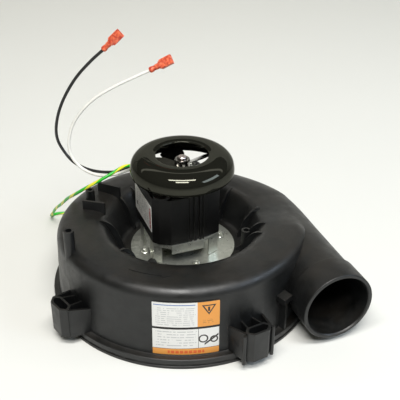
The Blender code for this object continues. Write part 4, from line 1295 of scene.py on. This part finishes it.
def stack_outline():
    """The stack from above, with grooves in its front and its front corners cut off."""
    front = -27.3
    outline = [(-32.3, -17.5), (-28.2, -22.2), (-19.5, front)]
    for left, depth, width in ((-4.6, 0.7, 1.0), (-1.2, 1.3, 1.5), (2.8, 1.8, 2.2), (6.9, 1.0, 1.1)):
        back = front + depth
        right = left + width
        outline += [(left, front), (left, back), (right, back), (right, front)]
    outline += [(9.2, front), (9.2, front + 2.4), (12.6, front + 2.4)]
    outline += [(24.5, -21.4), (24.5, 20), (16, 29.4), (-29.5, 29.4), (-32.3, 26.6)]
    return rounded(mm(*outline), 0.6 * MM, 3)


def stator_core(black):
    cuts = [disc(ROTOR_RADIUS + 0.4 * MM, 50 * MM, 110 * MM, sides=96)]
    cuts += [disc(20.5 * MM, 50 * MM, 68 * MM, sides=96), disc(20.5 * MM, 94 * MM, 110 * MM, sides=96)]
    cuts += bolt_holes(50 * MM, 110 * MM)
    body = prism(stack_outline(), MOTOR_BOTTOM, MOTOR_TOP)
    piece("lamination_stack", body, black, ["stator_core"], cuts=cuts, edge=0.25)


def folded(outline, bottom, top):
    """Upright sheet metal, from its outline in millimetres as seen from above."""
    return prism(mm(*outline), bottom, top)


def bracket_legs():
    """The four legs, two of which fold round the front corners."""
    top = 59.2 * MM
    legs = []
    for low_x, high_x in ((-31.6, -30.4), (22.6, 23.8)):
        for low_y, high_y in ((-17.4, -8), (9.5, 19)):
            outline = ((low_x, low_y), (high_x, low_y), (high_x, high_y), (low_x, high_y))
            legs.append(folded(outline, BRACKET_FLOOR, top))
    left_fold = ((-31.6, -17.4), (-26, -21.8), (-25.3, -20.9), (-30.4, -16.9))
    right_fold = ((23.8, -17.4), (23.8, -20.4), (14.5, -24.2), (14.1, -23.1), (22.6, -19.6), (22.6, -17.4))
    return legs + [folded(left_fold, BRACKET_FLOOR, top), folded(right_fold, BRACKET_FLOOR, top)]


def lower_bracket(zinc):
    """The stamped bracket under the stack: a tray with folded lips, four legs and the bearing cup."""
    top = 59.6 * MM
    tray = ((-31.6, -17.8), (-19.2, -27.6), (10, -27.6), (23.8, -21.6), (23.8, 19.8), (15.6, 28.8))
    tray += ((-29.2, 28.8), (-31.6, 26.4))
    joins = bracket_legs()
    joins += [block(*mm((-19.4, -28.4, 51.8), (8, -27.2, 59.6)))]
    joins += [block(*mm((-18, 27.8, 51.8), (12, 29.0, 59.6)))]
    joins += [folded(((-31.9, -18.2), (-19.4, -27.8), (-18.7, -26.9), (-31.2, -17.3)), 56.4 * MM, top)]
    cup = mm((7.5, 59.6), (14, 59.6), (13.6, 58.6), (13, 58.2))
    cup += mm((11.2, 57.6), (10.5, 56.6), (9.6, 51), (7.5, 51))
    joins += [turned(cup, 72)]
    cuts = [disc(BEARING_SEAT, 50 * MM, 70 * MM, sides=72)] + bolt_holes(50 * MM, 70 * MM)
    body = folded(tray, 58.4 * MM, top)
    piece("lower_motor_bracket", body, zinc, ["lower_bracket"], joins=joins, cuts=cuts, edge=0.18)


def upper_bracket(black):
    bottom = MOTOR_TOP + 0.4 * MM
    top = bottom + 1.8 * MM
    half = 22 * MM
    joins = [disc(7.6 * MM, bottom, top, x, y) for x, y in bolt_places()]
    cup = mm((7.5, 110), (9.4, 110), (9.8, 109.5), (10.4, 105.6))
    cup += mm((11.2, 104.6), (16, 104), (16, 102.6), (7.5, 102.6))
    joins += [turned(cup, 72)]
    cuts = [disc(BEARING_SEAT, 90 * MM, 120 * MM, sides=72)] + bolt_holes(90 * MM, 120 * MM)
    body = block((STACK_X - half, STACK_Y - half, bottom), (STACK_X + half, STACK_Y + half, top))
    piece("upper_motor_bracket", body, black, ["upper_bracket"], joins=joins, cuts=cuts, edge=0.25)


def motor_cap(black):
    """The round cap over the cooling fan: a thin shell, open in the middle and below."""
    points = mm((39.2, 109.9), (41.1, 110.4), (42.3, 111.8), (42.6, 113.8), (42.2, 117.4), (40.9, 121.4))
    points += mm((37.8, 124.9), (33.2, 127.0), (29.0, 127.6), (25.0, 127.6))
    points += mm((22.4, 127.3), (21.6, 126.8), (21.4, 126.1))
    outside = curve(points, 0.5 * MM)
    inner = mm((21.8, 125.7), (22.6, 126.0), (24.6, 126.4), (28.4, 126.5), (32.8, 125.8), (36.9, 123.8))
    inner += mm((39.8, 120.7), (41.4, 114.8), (40.8, 112.0), (39.1, 111.0))
    inside = curve(inner, 1.2 * MM)
    piece("fan_cap", turned(outside + inside, 200), black, ["motor_cap"])


def motor(zinc, black, enamel, bronze, copper, foil):
    motor_plate(zinc)
    washer = ((0, 41.7), (3.3, 41.7), (3.9, 41.5), (4.3, 41.1), (4.25, 40.7), (0, 40.7))
    for number, degrees in enumerate(PLATE_SCREW_ANGLES, 1):
        place = polar(SCREW_CIRCLE, degrees)
        hexagon_screw(f"plate_hex_screw_{number}", f"plate_screw_{number}", place, zinc, washer, (3.1, 41.2, 44.2),
                      (1.9, 35.6, 41.0))
    lower_bracket(zinc)
    stator_core(black)
    upper_bracket(black)
    washer = ((0, 105.2), (3.0, 105.2), (3.4, 104.9), (3.4, 104.5), (0, 104.5))
    for number, (x, y) in enumerate(bolt_places(), 1):
        hexagon_screw(f"stack_bolt_{number}", f"motor_bolt_{number}", (x, y, 0), zinc, washer, (3.4, 104.8, 106.9),
                      (1.8, 55.6, 105.0))
    motor_cap(enamel)
    for end in ("lower", "upper"):
        repaint(f"{end}_winding", copper)
        repaint(f"{end}_bearing", bronze)
    outline = rounded(mm((-17.2, 69.5), (26.2, 69.5), (26.2, 93.2), (-17.2, 93.2)), 1.2 * MM)
    plate = prism(outline, 0, 0.28 * MM)
    upright = Matrix(((0, 0, -1, -32.6 * MM), (1, 0, 0, 0), (0, 1, 0, 0), (0, 0, 0, 1)))
    piece("motor_foil_label", moved(plate, upright), foil, ["motor_label"])


# ---------------------------------------------------------------- stickers


def side_sticker(name, node, bottom, top, finish):
    """A thin sticker with rounded corners, bent round the wall. UV is metres along it and up it."""
    start, end = LABEL_ANGLES
    middle = wall_at((start + end) / 2, (bottom + top) / 2)
    width = math.radians(end - start) * middle
    height = top - bottom
    columns = 56
    corner = 2.4 * MM
    bm = bmesh.new()
    uv = bm.loops.layers.uv.new("face")
    rows = []
    for step in range(columns + 1):
        along = width * 0.5 * (1 - math.cos(math.pi * step / columns))
        nearest = min(along, width - along)
        shy = corner - math.sqrt(max(0.0, corner**2 - (corner - nearest) ** 2)) if nearest < corner else 0.0
        row = []
        for up in (shy, height - shy):
            degrees = lerp(start, end, along / width)
            radius = wall_at(degrees, bottom + up)
            for lift in (LABEL_GAP, LABEL_FACE):
                row.append((bm.verts.new(polar(radius + lift, degrees, bottom + up)), (along, up)))
        rows.append(row)
    faces = []
    for row, following in zip(rows, rows[1:]):
        for a, b in ((0, 1), (1, 3), (3, 2), (2, 0)):
            faces.append((row[a], row[b], following[b], following[a]))
    for row in (rows[0], rows[-1]):
        faces.append((row[0], row[1], row[3], row[2]))
    for corners in faces:
        face = bm.faces.new([vertex for vertex, _ in corners])
        for loop, (_, place) in zip(face.loops, corners):
            loop[uv].uv = place
    bmesh.ops.recalc_face_normals(bm, faces=bm.faces)
    piece(name, bm, finish, [node])


def stickers():
    width = math.radians(LABEL_ANGLES[1] - LABEL_ANGLES[0]) * wall_at(-108, 40 * MM) / MM
    upper = upper_sticker(width, 23.6, 0.665 * width)
    lower = lower_sticker(width, 25.2, 0.68 * width, 6.1)
    side_sticker("upper_sticker", "upper_side_label", 35.6 * MM, 59.2 * MM, upper)
    side_sticker("lower_sticker", "lower_side_label", 9.4 * MM, 34.6 * MM, lower)


# ---------------------------------------------------------------- stage


def stage_plane(name, size, matrix, finish):
    bm = bmesh.new()
    corners = [bm.verts.new((x * size / 2, y * size / 2, 0)) for x, y in ((-1, -1), (1, -1), (1, 1), (-1, 1))]
    bm.faces.new(corners)
    made = placed(name, mesh_of(name, bm))
    made.data.materials.append(finish)
    made.matrix_world = matrix


def area_light(name, azimuth, elevation, distance, width, height, power, colour):
    """A soft light that looks at the fan from this direction."""
    lamp = bpy.data.lights.new(name, "AREA")
    lamp.shape = "RECTANGLE"
    lamp.size = width
    lamp.size_y = height
    lamp.energy = power
    lamp.color = colour
    made = placed(name, lamp)
    target = Vector((0, 0, 0.07))
    towards = polar(math.cos(math.radians(elevation)), azimuth, math.sin(math.radians(elevation)))
    made.location = target + towards * distance
    made.rotation_euler = (-towards).to_track_quat("-Z", "Y").to_euler()
    return made


def stage():
    ahead = 68.8  # degrees: the way the camera looks, from above
    stage_plane("floor", 6.0, Matrix.Identity(4), stage_paper("floor_look", (0.69, 0.69, 0.655)))
    wall_place = Matrix.Translation(polar(1.02, ahead, -2.3)) @ spun(ahead - 90)
    stage_plane("backdrop", 6.0, wall_place @ spun(90, "X"), stage_paper("backdrop_look", (0.70, 0.695, 0.665)))
    area_light("key", -110, 66, 1.25, 0.95, 0.18, 15.6, (1.0, 0.99, 0.97))
    area_light("front", -110, 51, 1.6, 0.62, 0.19, 12.0, (1.0, 0.99, 0.97))
    area_light("window", -40, 33, 1.4, 0.95, 0.30, 6.6, (0.72, 0.84, 1.0))
    wash = area_light("wash", ahead, 60, 0.75, 2.4, 0.3, 3.9, (1.0, 0.985, 0.95))
    wash.rotation_euler = polar(1, ahead, -1.2).to_track_quat("-Z", "Y").to_euler()
    world = bpy.data.worlds.new("room")
    world.use_nodes = True
    world.node_tree.nodes["Background"].inputs["Color"].default_value = (0.085, 0.086, 0.072, 1.0)
    world.node_tree.nodes["Background"].inputs["Strength"].default_value = 1.0
    bpy.context.scene.world = world
    bpy.context.scene.view_settings.view_transform = "Standard"


# ---------------------------------------------------------------- everything


def main():
    place_camera()
    zinc = zinc_plate()
    brass = tinned_brass()
    nylon = red_nylon()
    rubber = black_rubber()
    plastic = moulded_plastic()

    black_end = spade_terminal("black_terminal", BLACK_ROUTE, BLACK_TIP, (-0.3, -0.9, 0.3), nylon, brass)
    white_end = spade_terminal("white_terminal", WHITE_ROUTE, WHITE_TIP, (-0.2, -0.7, 0.7), nylon, brass)
    ground_end = ring_terminal(brass)
    black_pvc = insulation("black_insulation_look", (0.010, 0.010, 0.010), (0.022, 0.022, 0.022), 0.30)
    white_pvc = insulation("white_insulation_look", (0.66, 0.65, 0.60), (0.80, 0.79, 0.75), 0.32)
    lead("black_wire", "black_lead", BLACK_ROUTE, black_pvc)
    lead("white_wire", "white_lead", WHITE_ROUTE, white_pvc)
    lead("ground_wire", "ground_lead", GROUND_ROUTE, striped_insulation())
    lead_grommet(rubber)

    scroll_housing(plastic)
    inlet_plate(plastic)
    repaint("housing_seal", rubber)
    repaint("plate_gasket", rubber)
    for number, degrees in enumerate(COVER_SCREW_ANGLES, 1):
        pan_screw(f"cover_pan_screw_{number}", f"cover_screw_{number}", cover_screw_place(degrees), zinc)
    rotor(bright_steel(), dark_steel(), bright_aluminium(), inner_plastic())
    motor(zinc, varnished_stack(), gloss_enamel(), sintered_bronze(), wound_copper(), foil_label())
    stickers()
    stage()


main()
